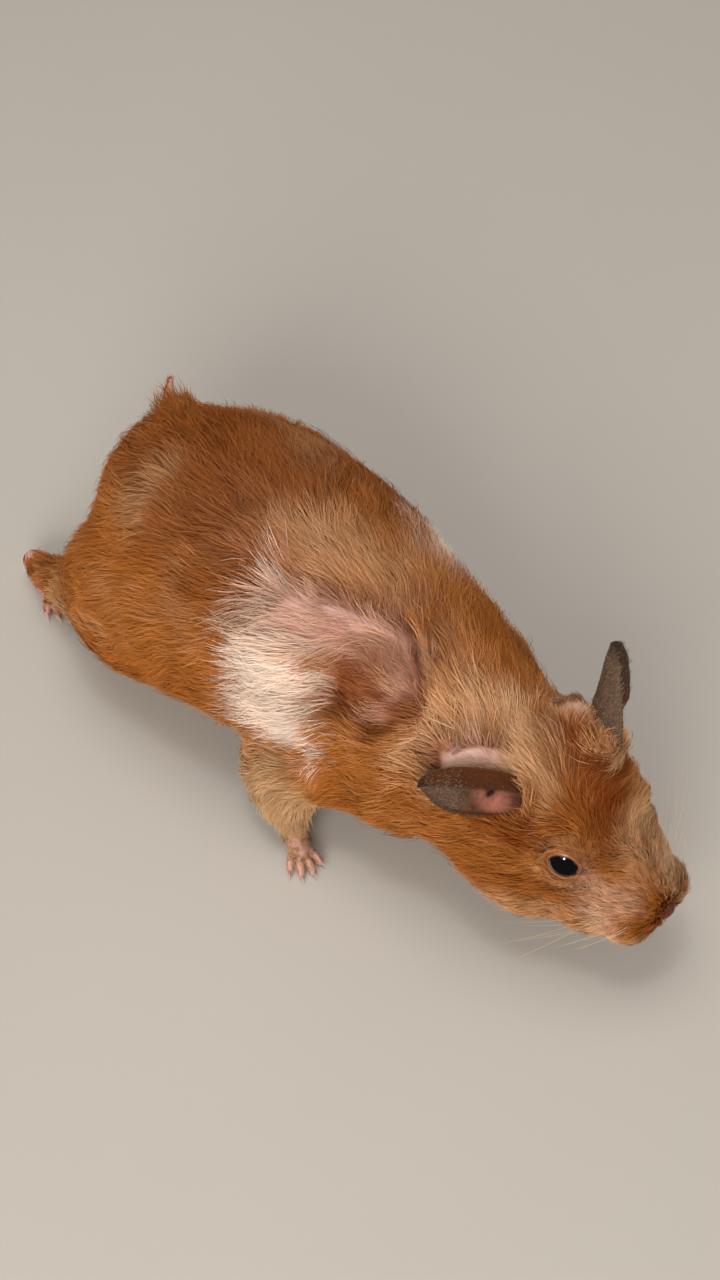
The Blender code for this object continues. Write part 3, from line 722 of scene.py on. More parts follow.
hide_finish, tree, shader = new_finish(
    "living skin", roughness=0.55, specular_ior_level=0.35, subsurface_weight=0.12
)
shader.inputs["Subsurface Radius"].default_value = (0.0016, 0.0007, 0.0004)
shader.inputs["Subsurface Scale"].default_value = 1.0
where = add(tree, "TexCoord").outputs["Object"]
veins = add(tree, "TexNoise", {"Vector": where, "Scale": 260.0, "Detail": 3.0})
pink = blend_of(tree, veins.outputs[0], linear(PINK_SKIN), linear(VEINED_SKIN))
_, swollen, nakedness = parts_of(tree, "marks_b")
pink = blend_of(tree, parts_of(tree, "marks_a")[2], pink, linear(PALE_SKIN))
pink = blend_of(tree, swollen, pink, linear(LUMP_SKIN))
nakedness = add(tree, "Math", {0: swollen, 1: nakedness}, operation="MAXIMUM").outputs[0]
under = fur_colour(tree, 0)
showing = add(tree, "MapRange", {0: nakedness, 1: 0.1, 2: 0.75})
tone = blend_of(tree, showing.outputs[0], under, pink)
# Painted shade in the mouth, along the lips and in the creases over the right ear.
fold_shade = add(tree, "Attribute", attribute_name="folds").outputs["Fac"]
tone = blend_of(tree, fold_shade, tone, linear("#6a2f26"))
tree.links.new(tone, shader.inputs["Base Color"])
# Wrinkles of about half a millimetre, the finest that shows.
cells = {"Vector": where, "Scale": 1 / (WRINKLE * MM)}
wrinkles = add(tree, "TexVoronoi", cells, feature="DISTANCE_TO_EDGE")
bump = add(tree, "Bump", {"Height": wrinkles.outputs[0], "Strength": 0.35, "Distance": 0.0002})
tree.links.new(bump.outputs[0], shader.inputs["Normal"])

skin_mesh = mesh_of("skin", skin_points, skin_faces)
skin = place("skin", skin_mesh, hide_finish)
skin_marks = markings(skin_points)
skin_marks["bare"] = np.where(is_paw, 1.0, skin_marks["bare"])
skin_marks["bare"] = np.maximum(skin_marks["bare"], np.append(tail_near, np.zeros(is_paw.sum())))
keep_marks(skin_mesh, skin_marks)
# where painted shade darkens the mouth, the lips and the creases
keep(skin_mesh, "folds", np.append(np.maximum(lip_line, 0.8 * creases), np.zeros(is_paw.sum())))
bpy.context.view_layer.objects.active = skin
skin.select_set(True)
bpy.ops.object.mode_set(mode="EDIT")
bpy.ops.mesh.select_all(action="SELECT")
bpy.ops.uv.smart_project(angle_limit=1.15, island_margin=0.002)
bpy.ops.object.mode_set(mode="OBJECT")
skin.select_set(False)
skin_unwrap = np.empty(len(skin_mesh.loops) * 2, np.float32)
skin_mesh.uv_layers.active.data.foreach_get("uv", skin_unwrap)
skin_unwrap = skin_unwrap.reshape(len(skin_faces), 4, 2)
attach(skin, "root")
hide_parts(*FLESH, *LEGS, *PAWS)


# ---- Eyes and lids ---------------------------------------------------------------------------
# Each eye is a wet ball, so dark a brown that it looks black, with a slightly raised cornea. Its
# lids are a thin rim of bare skin, dark at the margin, that closes round it as an almond.

CORNEA_RISE = 0.1
ALMOND_LONG, ALMOND_HIGH, ALMOND_TILT = math.radians(47), math.radians(25), math.radians(20)
LID_ROWS = (  # degrees outside the almond, height over the ball and darkness
    (-5, -0.10, 1.0), (-1, 0.03, 1.0), (1, 0.13, 1.0), (2.5, 0.17, 0.8), (4.5, 0.18, 0.3), (8, 0.17, 0.0),
    (14, 0.15, 0.0), (22, 0.13, 0.0), (32, 0.1, 0.0), (44, 0.05, 0.0), (56, -0.1, 0.0), (68, -0.8, 0.0),
)
LID_SIDES = 96
EYE_ROWS, EYE_SIDES = 49, 96

# Tear film over dark eye: a sharp small highlight, and little else reflected.
eye_finish, tree, shader = new_finish(
    "wet black eye", roughness=0.04, ior=1.376, specular_ior_level=0.3
)
from_middle = add(tree, "Attribute", attribute_name="from_middle").outputs["Fac"]
iris = add(tree, "ValToRGB", {0: from_middle})
iris.color_ramp.elements[0].position, iris.color_ramp.elements[0].color = 0.2, linear("#030102")
iris.color_ramp.elements[1].position, iris.color_ramp.elements[1].color = 0.32, linear("#120604")
tree.links.new(iris.outputs[0], shader.inputs["Base Color"])

# Bare damp skin, nearly black where it meets the eye.
lid_finish, tree, shader = new_finish("lid margin", roughness=0.45, specular_ior_level=0.4)
darkness = add(tree, "Attribute", attribute_name="darkness").outputs["Fac"]
lid_colour = blend_of(tree, darkness, linear("#b87444"), linear("#1d0d09"))
tree.links.new(lid_colour, shader.inputs["Base Color"])
where = add(tree, "TexCoord").outputs["Object"]
folds = add(tree, "TexNoise", {"Vector": where, "Scale": 2200.0})
bump = add(tree, "Bump", {"Height": folds.outputs[0], "Strength": 0.3, "Distance": 0.0001})
tree.links.new(bump.outputs[0], shader.inputs["Normal"])


def turned(vector, axis, angle):
    """The vector turned about a unit axis."""
    return np.array(Matrix.Rotation(angle, 3, Vector(axis)) @ Vector(vector))


def grid_faces(rows, columns, closed):
    """Quads between the rows of a grid, whose last column may meet its first."""
    i, j = np.meshgrid(np.arange(rows - 1), np.arange(columns if closed else columns - 1), indexing="ij")
    i, j = i.ravel(), j.ravel()
    after = (j + 1) % columns
    ring, below = i * columns, (i + 1) * columns
    return np.stack([ring + j, below + j, below + after, ring + after], axis=1)


def globe(rows, sides):
    """The angle from the front, and the angle round it, at each point of a ball's rings."""
    steps = np.linspace(0, math.pi, rows), np.linspace(0, 2 * math.pi, sides, False)
    return np.meshgrid(*steps, indexing="ij")


lid_surfaces = {}
for side in ("right", "left"):
    outward = eye_outward[side]
    long_way = unit(head_ahead - outward * (head_ahead @ outward))
    long_way = turned(long_way, outward, ALMOND_TILT if side == "right" else -ALMOND_TILT)
    high_way = np.cross(outward, long_way)
    middle_of_eye = ball_centre[side]
    angle, around = globe(EYE_ROWS, EYE_SIDES)
    rays = np.cos(angle)[..., None] * outward + np.sin(angle)[..., None] * (
        np.cos(around)[..., None] * long_way + np.sin(around)[..., None] * high_way
    )
    radius = EYE_RADIUS + CORNEA_RISE * np.exp(-((angle / 0.6) ** 2))
    points = (middle_of_eye + rays * radius[..., None]).reshape(-1, 3)
    eye_mesh = mesh_of(f"eyeball_{side}", points, grid_faces(EYE_ROWS, EYE_SIDES, True))
    keep(eye_mesh, "from_middle", angle.ravel() / math.pi)
    eye = place(f"eyeball_{side}", eye_mesh, eye_finish)
    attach(eye, "root")
    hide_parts(f"eye_{side}")

    phi = np.linspace(0, 2 * math.pi, LID_SIDES, False)
    wide = ALMOND_LONG * np.cos(phi)
    high = ALMOND_HIGH * np.sin(phi) * np.abs(np.sin(phi)) ** 0.3
    opening, heading = np.hypot(wide, high), np.arctan2(high, wide)
    rows, shades = [], []
    for outside, height, shade in LID_ROWS:
        theta = opening + math.radians(outside)
        ray = np.cos(theta)[:, None] * outward + np.sin(theta)[:, None] * (
            np.cos(heading)[:, None] * long_way + np.sin(heading)[:, None] * high_way
        )
        rows.append(middle_of_eye + ray * (EYE_RADIUS + height))
        shades.append(np.full(LID_SIDES, shade))
    lid_points, lid_faces = np.vstack(rows), grid_faces(len(rows), LID_SIDES, True)
    lid_mesh = mesh_of(f"eyelids_{side}", lid_points, lid_faces)
    keep(lid_mesh, "darkness", np.concatenate(shades))
    lids = place(f"eyelids_{side}", lid_mesh, lid_finish)
    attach(lids, "root")
    lid_surfaces[side] = (surface_of(lid_points, lid_faces), middle_of_eye)


# ---- Nose ------------------------------------------------------------------------------------
# A small moist pad of hairless skin on the tip of the muzzle, with two comma-shaped nostrils and
# the groove of the split upper lip below.

NOSE_RADII, NOSE_ROWS, NOSE_SIDES = (1.55, 1.95, 1.5), 60, 96
NOSTRIL_AHEAD, NOSTRIL_ASIDE, NOSTRIL_UP, NOSTRIL_PIT = 0.80, 0.52, -0.02, 0.55

# Moist skin: pink, darker and redder in the nostrils and the cleft below them, where the dark is painted
# shade, with a soft shine.
nose_finish, tree, shader = new_finish("moist nose skin", roughness=0.38, specular_ior_level=0.4)
where = add(tree, "TexCoord").outputs["Object"]
grain = add(tree, "TexNoise", {"Vector": where, "Scale": 1500.0, "Detail": 3.0})
rosy = blend_of(tree, grain.outputs[0], linear("#4c2118"), linear("#6c3527"))
pit = add(tree, "Attribute", attribute_name="pit").outputs["Fac"]
tree.links.new(blend_of(tree, pit, rosy, linear("#3a120d")), shader.inputs["Base Color"])
bump = add(tree, "Bump", {"Height": grain.outputs[0], "Strength": 0.35, "Distance": 0.0002})
tree.links.new(bump.outputs[0], shader.inputs["Normal"])

angle, around = globe(NOSE_ROWS, NOSE_SIDES)
rays = np.stack(
    [np.cos(angle), np.sin(angle) * np.cos(around), np.sin(angle) * np.sin(around)], axis=-1
).reshape(-1, 3)
pits = np.zeros(len(rays))
for aside in (1, -1):
    for step in np.linspace(0, 1, 5):  # the slit runs from the hole outwards and back
        slit_aside = aside * (NOSTRIL_ASIDE + 0.3 * step)
        hole = unit((NOSTRIL_AHEAD - 0.34 * step, slit_aside, NOSTRIL_UP + 0.2 * step))
        reach = 0.24 - 0.10 * step
        pits = np.maximum(pits, ramp(np.linalg.norm(rays - hole, axis=1), reach, reach * 0.35))
cleft = np.exp(-((rays[:, 1] / 0.13) ** 2)) * ramp(rays[:, 2], 0.25, -0.1)
swell = 1 + 0.06 * np.abs(rays[:, 1]) - 0.16 * cleft
formed = rays * np.array(NOSE_RADII) * (swell - NOSTRIL_PIT * pits)[:, None]
nose_points = (
    nose_centre - head_ahead * 0.7 - head_up * 0.3
    + formed[:, :1] * head_ahead + formed[:, 1:2] * head_left + formed[:, 2:] * head_up
)
nose_mesh = mesh_of("nose_pad", nose_points, grid_faces(NOSE_ROWS, NOSE_SIDES, True))
# Painted shade in the nostrils and, more faintly, in the cleft of the lip.
keep(nose_mesh, "pit", np.maximum(pits, 0.6 * cleft))
nose_pad = place("nose_pad", nose_mesh, nose_finish)
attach(nose_pad, "root")


# ---- Ears ------------------------------------------------------------------------------------
# Thin cupped leaves of dark grey skin with a fine down. The left one stands up; the right one is
# laid back along the neck with its hollow outwards, pink round the dark opening of the ear.

Ear = namedtuple(
    "Ear", "reach shift opening width widest root_share root_arc tip_arc dip slant start lean sunk"
)
EARS = {
    "ear_left": Ear(
        reach=(-1.1, 7.6, 21.8), shift=(0, 0, 0), opening=(0.80, 0.54, 0.0), width=12.4, widest=0.42,
        root_share=0.56, root_arc=98, tip_arc=58, dip=0.0, slant=0.0, start=0.16, lean=1.5, sunk=0.0,
    ),
    "ear_right": Ear(
        reach=(-15.4, -12.0, -2.8), shift=(0.13, -0.19, 0.35), opening=(0.314, -0.293, 0.876), width=7.5,
        widest=0.5, root_share=0.14, root_arc=84, tip_arc=64, dip=3.0, slant=0.07, start=-0.03, lean=0.0,
        sunk=1.9,
    ),
}
EAR_ROWS, EAR_COLUMNS = 110, 72
EAR_THICK, EAR_RIM = 0.62, 0.24
EAR_HOLE, EAR_HOLE_DEEP = (0.385, 0.0), 0.45

# Thin skin with a dull shine, grained as finely as pores; the grain is drawn at half a millimetre.
ear_finish, tree, shader = new_finish("thin ear skin", roughness=0.8, specular_ior_level=0.12)
flush, brown_and_shade, deep = parts_of(tree, "ear_tones")
where = add(tree, "TexCoord").outputs["Object"]
grain = add(tree, "TexNoise", {"Vector": where, "Scale": 1400.0, "Detail": 4.0})
grey = blend_of(tree, grain.outputs[0], linear("#46362b"), linear("#7a6555"))
brown = blend_of(tree, grain.outputs[0], linear("#40200e"), linear("#6a3c20"))
rose = blend_of(tree, grain.outputs[0], linear("#94503f"), linear("#bd7c6b"))
# Brown skin; on the upper wall of the right ear's hollow the brown is painted shade.
tone = blend_of(tree, brown_and_shade, grey, brown)
tone = blend_of(tree, flush, tone, rose)
# Near black at the tips, and painted shade in the ear's opening.
tone = blend_of(tree, deep, tone, linear("#24100b"))
tree.links.new(tone, shader.inputs["Base Color"])
bump = add(tree, "Bump", {"Height": grain.outputs[0], "Strength": 0.6, "Distance": 0.0003})
tree.links.new(bump.outputs[0], shader.inputs["Normal"])

ear_surfaces = {}
for name, ear in EARS.items():
    corners, _ = arrays_of(frame["nodes"][name].data)
    away = np.linalg.norm(corners - between_eyes, axis=1)
    tip = corners[away > away.max() - 0.7].mean(axis=0) + ear.shift
    reach = np.array(ear.reach)
    root = tip - reach
    along = unit(reach)
    facing = unit(np.array(ear.opening) - along * (np.array(ear.opening) @ along))
    across = np.cross(along, facing)
    s, a = np.meshgrid(np.linspace(ear.start, 1, EAR_ROWS), np.linspace(-1, 1, EAR_COLUMNS), indexing="ij")
    above = np.clip((s - ear.widest) / (1 - ear.widest), 0, 1)
    below = np.clip((ear.widest - s) / (ear.widest - ear.start), 0, 1)
    outline = np.sqrt(np.maximum(1 - above ** (2.2 if name == "ear_right" else 1.7), 0.0)) * (
        ear.root_share + (1 - ear.root_share) * np.sqrt(np.maximum(1 - below**2, 0))
    )
    half_width = np.maximum(ear.width / 2 * outline, 0.12)
    arc = np.radians(ear.root_arc + (ear.tip_arc - ear.root_arc) * np.clip(s, 0, 1) ** 0.8)
    radius = half_width / np.sin(np.minimum(arc, math.pi / 2))
    curl = arc * a * (1 + 0.08 * np.abs(a) ** 6)
    reached = s * (1 - ear.slant * (1 - a) / 2)
    fall = ear.dip * ramp(s, 0.3, ear.start) + ear.lean * s**2
    spine = root + reached[..., None] * reach - facing * fall[..., None]
    cup = across * np.sin(curl)[..., None] + facing * (1 - np.cos(curl))[..., None]
    spine = spine - facing * (ear.sunk * ramp(a, -0.2, -1.0))[..., None]
    leaf = spine + cup * radius[..., None]
    flat = leaf.reshape(-1, 3)
    wave = 0.16 * ripple(flat, 5.0, 31) + 0.05 * ripple(flat, 1.5, 32)
    gap = np.hypot((s - EAR_HOLE[0]) * 17.0, (a - EAR_HOLE[1]) * 5.2 + (s - EAR_HOLE[0]) * 5.0)
    gap = gap * (1 + 0.12 * ripple(flat, 2.0, 33).reshape(s.shape))
    pit = ramp(gap, 1.2, 0.5)
    if name == "ear_right":  # the opening with its rim, and the folds in front of and behind it
        laid_flat = np.stack([s * 19, a * 4, 0 * s], axis=-1).reshape(-1, 3)
        knob = spot(laid_flat, (5.0, -1.7, 0), (2.2, 1.6, 1), 0.7)
        fold = stroke(laid_flat, ((8.8, -0.2, 0), (11.0, -1.4, 0), (11.6, -3.2, 0)), 0.9, 0.8)
        lip_of_hole = 0.2 * ramp(np.abs(gap - 1.6), 0.6, 0.0) * ramp(a, 0.1, -0.1)
        wave = wave + 0.6 * knob + 0.5 * fold + (lip_of_hole - EAR_HOLE_DEEP * pit).ravel()
    leaf += facing * wave.reshape(s.shape)[..., None]
    sheet = leaf.reshape(-1, 3)
    sheet_faces = grid_faces(EAR_ROWS, EAR_COLUMNS, False)
    inward = normals_of(sheet, sheet_faces)
    inward *= np.sign((inward * facing).sum(1)[np.abs(a.ravel()) < 0.3].sum())
    thick = EAR_RIM + (EAR_THICK - EAR_RIM) * (1 - np.abs(a) ** 4) * (1 - 0.6 * np.clip(s, 0, 1) ** 3)
    half_thick = inward * thick.reshape(-1, 1) / 2
    points = np.vstack([sheet + half_thick, sheet - half_thick])
    count = len(sheet)
    grid = np.arange(count).reshape(s.shape)
    edge = np.concatenate([grid[0], grid[1:, -1], grid[-1, -2::-1], grid[-2:0:-1, 0]])
    rim = np.stack([edge, np.roll(edge, -1), np.roll(edge, -1) + count, edge + count], axis=1)
    faces = np.vstack([sheet_faces, sheet_faces[:, ::-1] + count, rim])
    pinna_mesh = mesh_of(name, points, faces)
    bm = bmesh.new()
    bm.from_mesh(pinna_mesh)
    bmesh.ops.recalc_face_normals(bm, faces=bm.faces)
    bm.to_mesh(pinna_mesh)
    bm.free()
    inside = np.concatenate([np.ones(count), np.zeros(count)])
    s2, a2 = np.tile(s.ravel(), 2), np.tile(a.ravel(), 2)
    if name == "ear_right":
        lower = ramp(a2, 0.16, -0.02)
        hollow = inside * ramp(s2 - 0.10 * a2, 0.62, 0.36) * lower
        flush = 0.9 * hollow * ramp(s2, 0.08, 0.36) * ramp(a2, -1.0, -0.5)
        # Brown below the hollow and outside; the upper wall is painted fully brown as its shade, and the
        # lower rim takes a fur-like brown.
        brown_and_shade = inside * np.maximum(1 - lower, 0.45 + 0.4 * ramp(s2, 0.7, 0.5)) + (1 - inside) * 0.8
        brown_and_shade = np.maximum(brown_and_shade, ramp(a2, -0.65, -0.85) * ramp(s2, 0.85, 0.6))
        # Near black at the tip, painted shade in the opening, and darker along the upper inner rim.
        deep = np.maximum(inside * np.tile(pit.ravel(), 2), 0.75 * ramp(s2, 0.88, 1.0) * (1 - 0.5 * lower))
        deep = np.maximum(deep, 0.3 * inside * ramp(a2, 0.9, 0.3) * (1 - lower))
    else:
        flush = 0.45 * ramp(s2, 0.3, 0.2) + 0.25 * inside * ramp(s2, 0.6, 0.2)
        brown_and_shade = np.full(len(s2), 0.25)
        deep = 0.6 * ramp(s2, 0.9, 1.0)
    tones = np.stack([np.clip(flush, 0, 1), np.clip(brown_and_shade, 0, 1), deep], axis=1)
    keep(pinna_mesh, "ear_tones", tones)
    pinna = place(name.replace("ear", "pinna"), pinna_mesh, ear_finish)
    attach(pinna, "root")
    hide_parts(name)
    skin_of_ear = surface_of(points, faces[: 2 * len(sheet_faces)])
    ear_surfaces[name] = (sheet, inward, along, skin_of_ear, s2, a2, inside)


# ---- Claws -----------------------------------------------------------------------------------
# A short curved horn claw on each toe, translucent grey at its root and paler at the point.

horn, tree, shader = new_finish("claw horn", roughness=0.3, specular_ior_level=0.5)
where = add(tree, "Attribute", attribute_name="to_point").outputs["Fac"]
shade = blend_of(tree, where, linear("#a88474"), linear("#e3d2c0"))
tree.links.new(shade, shader.inputs["Base Color"])
CLAW_ROWS, CLAW_SIDES, CLAW_ROOT = 9, 14, 0.42

for name in PAWS:
    points, faces, shares = [], [], []
    for _, _, tip, ahead in toes_of(name):
        side_way = Vector((-ahead.y, ahead.x, 0.0))
        for i in range(CLAW_ROWS):
            t = i / (CLAW_ROWS - 1)
            bend = math.radians(10 + 45 * t)
            forward = ahead * math.cos(bend) - Vector((0, 0, math.sin(bend)))
            middle_at = tip + ahead * (0.35 + PAWS[name].claw * t) + Vector((0, 0, 0.3 - 0.75 * t * t))
            lift = side_way.cross(forward).normalized()
            radius = CLAW_ROOT * (1 - t) ** 0.8 + 0.03
            for k in range(CLAW_SIDES):
                turn_by = 2 * math.pi * k / CLAW_SIDES
                out_by = side_way * math.cos(turn_by) * 0.7 + lift * math.sin(turn_by)
                points.append(middle_at + out_by * radius)
                shares.append(t)
    per_claw = CLAW_ROWS * CLAW_SIDES
    for i in range(len(PAWS[name].toe_lengths)):
        faces.append(grid_faces(CLAW_ROWS, CLAW_SIDES, True) + i * per_claw)
    points = np.array([list(p) for p in points])
    points[:, 2] = np.maximum(points[:, 2], 0.03)
    claw_mesh = mesh_of(f"claws_{name}", points, np.vstack(faces))
    keep(claw_mesh, "to_point", np.array(shares))
    claws = place(f"claws_{name}", claw_mesh, horn)
    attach(claws, "root")


# ---- Coat ------------------------------------------------------------------------------------
# Soft fur of fine tapered hairs, rooted all over the hide and combed from the nose to the tail and
# down the legs: a dense lower layer under longer guard hairs, which gather into loose, slightly
# curved locks. The face and feet have the shortest. Over pink skin it thins to a few pale hairs.

Layer = namedtuple("Layer", "hairs steps long low high stray wide dimmest pull")
LAYERS = {  # the fine wool below, and the guard hairs over it
    "underfur": Layer(195_000, (0.0, 0.5, 1.0), 0.74, 0.25, 0.95, 0.0, 0.9, (0.1, 0.6), 0.7),
    "coat": Layer(160_000, (0.0, 0.30, 0.66, 1.0), 1.0, 0.7, 1.3, 0.12, 0.95, (0.3, 1.0), 1.0),
}
LID_HAIRS, LID_HAIR_SIZE = 4400, (1.7, 0.085, 0.5)
TAPERS = {3: (0.9, 0.9), 4: (0.8, 1.0, 0.72)}  # by the number of points in a hair
LOCK_AREA = 3.2
PATCH = 0.003
rng = np.random.default_rng(7)
TUFTS = {  # where the coat stands up: place, reach, way, height and length
    "left front": (from_node("head", (6.3, 11.3, 16.8)), 2.8, (0.8, 0.1, 0.6), 3.0, 5.4),
    "left near": (from_node("head", (1.3, 7.5, 17.2)), 3.4, (0.0, 0.3, 0.95), 2.6, 5.4),
    "left back": (from_node("head", (-6.3, 12.7, 14.4)), 2.6, (-0.4, 0.4, 0.8), 1.4, 4.4),
    "far side of the snout": (from_node("muzzle", (6.3, 5.4, -1.0)), 1.9, (0.5, 0.65, 0.55), 1.7, 2.8),
}

BEHIND_LUMP = from_node("trunk", (6.1, -11.8, 15.0))  # where the hair of the swelling points
EAR_UPWARDS = np.array((-0.62, 0.58, 0.53))  # along the neck's side, from the cheek to the ear
lower_rim = ear_surfaces["ear_right"][0].reshape(EAR_ROWS, EAR_COLUMNS, 3)[10:100:12, 0]
BELOW_RIGHT_EAR = lower_rim - 1.4 * EAR_UPWARDS


def lie_of(points, normals):
    """The way that the coat lies: back along the body, outwards and down, and down the legs."""
    way = np.stack([-np.ones(len(points)), 0.85 * normals[:, 1], np.full(len(points), -0.45)], axis=1)
    way[:, 1] += 0.3 * ramp(normals[:, 2], 0.8, 1.0) * ramp(points[:, 0], 6, -4)
    head = in_head(points)
    upper = ramp(normals[:, 2], 0.3, 0.8) * ramp(points[:, 0], 0, 22)
    way[:, 1] += 0.6 * upper
    on_lump = spot(points, LUMP_CENTRE, (9.5, 9.5, 9.5), 0.3)[:, None]
    way = unit(way) * (1 - 0.35 * on_lump) + 0.35 * on_lump * unit(BEHIND_LUMP - points)
    under_ear = stroke(points, BELOW_RIGHT_EAR, 2.6, 0.7)[:, None]
    way = unit(way) * (1 - 0.65 * under_ear) + 0.65 * under_ear * unit(EAR_UPWARDS)
    from_nose = ramp(head[:, 0], 25.0, 33.0)[:, None]
    way = unit(way) * (1 - from_nose) + from_nose * unit(points - nose_centre)
    for sole in sole_of.values():
        down = unit(np.array(sole) + (0, 0, 1.0) - points)
        held = ramp(np.linalg.norm(points - np.array(sole), axis=1), 24.0, 9.0)[:, None]
        way = unit(way) * (1 - held) + down * held
    for where, reach, lean, _, _ in TUFTS.values():
        near = spot(points, where, (reach,) * 3, 0.7)[:, None]
        way = unit(way) * (1 - near) + near * unit(lean)
    return unit(way)


def comb(surface, roots, normals, way, lengths, heights, turns, bends, steps):
    """The points of each hair from root to tip, laid over the surface as it bends."""
    flat = unit(way - normals * (way * normals).sum(axis=1, keepdims=True))
    flat = flat * np.cos(turns)[:, None] + np.cross(normals, flat) * np.sin(turns)[:, None]
    here = roots - normals * 0.15
    line, n = [here], normals
    for before, after in zip(steps, steps[1:]):
        ahead = here + flat * (lengths * (after - before))[:, None]
        index = [surface.tree.find(p)[1] for p in ahead.tolist()]
        n = surface.normals[index]
        above = ((ahead - surface.points[index]) * n).sum(axis=1)
        wanted = heights * (1 - (1 - after) ** 2.2)
        lift = np.clip(wanted - above, -0.8 * lengths, 0.8 * lengths)
        here = ahead + n * lift[:, None]
        flat = flat * np.cos(bends)[:, None] + np.cross(n, flat) * np.sin(bends)[:, None]
        flat = unit(flat - n * (flat * n).sum(axis=1, keepdims=True))
        line.append(here)
    return np.stack(line, axis=1)


def hair_mesh(name, lines, normals, widths, rolls, patches, strand, steps, found=None):
    """Hairs as thin tapered blades, with the markings and a place on the unwrap for each."""
    count, points_each = lines.shape[:2]
    along = np.gradient(lines, axis=1)
    flat = unit(np.cross(along, normals[:, None, :]))
    raised = unit(np.cross(flat, along))
    edge = flat * np.cos(rolls)[:, None, None] + raised * np.sin(rolls)[:, None, None]
    edge = edge * (widths / 2)[:, None, None]
    rows = []
    for k, taper in enumerate(TAPERS[points_each]):
        rows += [lines[:, k] - edge[:, k] * taper, lines[:, k] + edge[:, k] * taper]
    rows.append(lines[:, -1])
    points = np.stack(rows, axis=1).reshape(-1, 3)
    corners = len(rows)
    blade = []
    for k in range(points_each - 2):
        blade += [(2 * k, 2 * k + 1, 2 * k + 3), (2 * k, 2 * k + 3, 2 * k + 2)]
    blade.append((corners - 3, corners - 2, corners - 1))
    faces = (np.arange(count)[:, None, None] * corners + np.array(blade)).reshape(-1, 3)
    mesh = mesh_of(name, points, faces)
    share = np.array([steps[k // 2] for k in range(corners - 1)] + [1.0])
    strands = np.empty((count, corners, 3))
    strands[:, :, 0], strands[:, :, 1:] = share, strand[:, None, :]
    keep(mesh, "strand", strands.reshape(-1, 3))
    if found is not None:
        keep_marks(mesh, {key: np.repeat(value, corners) for key, value in found.items()})
    shading = unit(0.75 * normals + 0.25 * raised[:, 1])
    keep(mesh, "custom_normal", np.repeat(shading, corners, axis=0))
    side = np.array([-0.5, 0.5] * (points_each - 1) + [0.0])
    spread = np.stack([side, share - 0.5], axis=1) * PATCH
    unwrap = (patches[:, None, :] + spread[None]).reshape(-1, 2)[faces.ravel()]
    mesh.uv_layers.new(name="OFBake").data.foreach_set("uv", unwrap.astype(np.float32).ravel())
    return mesh


# Hair, dull where it lies in depth: dark roots, and paler tips on the guard hairs.
hair_finish, tree, shader = new_finish("soft fur", roughness=0.55, specular_ior_level=0.07)
share, chance, lock_chance = parts_of(tree, "strand")
to_tip = add(tree, "MapRange", {0: share, 1: 0.0, 2: 0.8}, interpolation_type="SMOOTHSTEP")
tone = blend_of(tree, to_tip.outputs[0], fur_colour(tree, 0), fur_colour(tree, 1))
lightness = add(tree, "MapRange", {0: chance, 3: 0.82, 4: 1.22})
lock_light = add(tree, "MapRange", {0: lock_chance, 3: 0.82, 4: 1.18})
value = add(tree, "Math", {0: lightness.outputs[0], 1: lock_light.outputs[0]}, operation="MULTIPLY")
tone = add(tree, "HueSaturation", {"Color": tone, "Value": value.outputs[0]})
gilded = add(tree, "MapRange", {0: chance, 1: 0.6, 2: 1.0, 3: 0.0, 4: 1.0})
gilded = add(tree, "Math", {0: gilded.outputs[0], 1: to_tip.outputs[0]}, operation="MULTIPLY")
paleness = add(tree, "MapRange", {0: parts_of(tree, "marks_a")[2], 3: 0.12, 4: 0.65})
gilded = add(tree, "Math", {0: gilded.outputs[0], 1: paleness.outputs[0]}, operation="MULTIPLY")
tone = blend_of(tree, gilded.outputs[0], tone.outputs[0], linear("#eabf86"))
tree.links.new(tone, shader.inputs["Base Color"])

# How long, high, dense, thick and gathered the hair is at each point of the hide.
head = in_head(skin_points)
x, y, z = skin_points.T
normals = skin_surface.normals
ahead = head[:, 0]
paw_zeros = np.zeros(is_paw.sum())
leg_near = np.append(leg, paw_zeros) * ramp(ahead, 4, 0)
wrist = ramp(z, 12.0, 5.0) * leg_near
length = 10.4 - 2.6 * ramp(ahead, -4, 10) - 3.6 * ramp(ahead, 10, 26) - 2.0 * ramp(ahead, 27, 36)
density = 12 + 7 * ramp(ahead, 6, 20) + 9 * ramp(ahead, 26, 34)
width = 0.13 - 0.025 * ramp(ahead, 6, 20) - 0.03 * ramp(ahead, 26, 34)
gather = 0.5 - 0.2 * ramp(ahead, 6, 22)
length -= 5.2 * leg_near
length = toward(length, 2.4, wrist)
m = skin_marks
length = toward(length, 4.0, m["rust"])
density = toward(density, 9, m["rust"])
gather = toward(gather, 0.25, m["rust"])
width = toward(width, 0.1, m["rust"])
patch_only = m["bare"] * ramp(ahead, 4, -2)
length = toward(length, 6.4, patch_only)
density *= 1 - 0.92 * patch_only
width = toward(width, 0.085, patch_only)
behind = bare_behind_ears(skin_points)
density *= 1 - 0.9 * behind
length = toward(length, 3.0, behind)
width = toward(width, 0.06, behind)
density *= 1 - 0.6 * np.append(creases, paw_zeros)
density *= 1 - 0.45 * ramp(normals[:, 2], -0.1, -0.5)
height = skin_depth * 0.95
for side in eye_centre:
    away = np.linalg.norm(skin_points - ball_centre[side], axis=1)
    rim_near = ramp(away, 7.6, 4.8)
    length = toward(length, 1.3, rim_near)
    density = toward(density, 34, rim_near)
    width = toward(width, 0.085, rim_near)
    density *= ramp(away, 3.3, 3.6)
away = np.linalg.norm(skin_points - nose_centre, axis=1)
length = toward(length, 1.0, ramp(away, 7.0, 3.0))
density *= ramp(away, 1.3, 1.9)
bare_tail = np.append(tail_near, paw_zeros) * ramp(x, -55, -59)
length = toward(length, 1.4, bare_tail)
density = toward(density, 4, bare_tail)
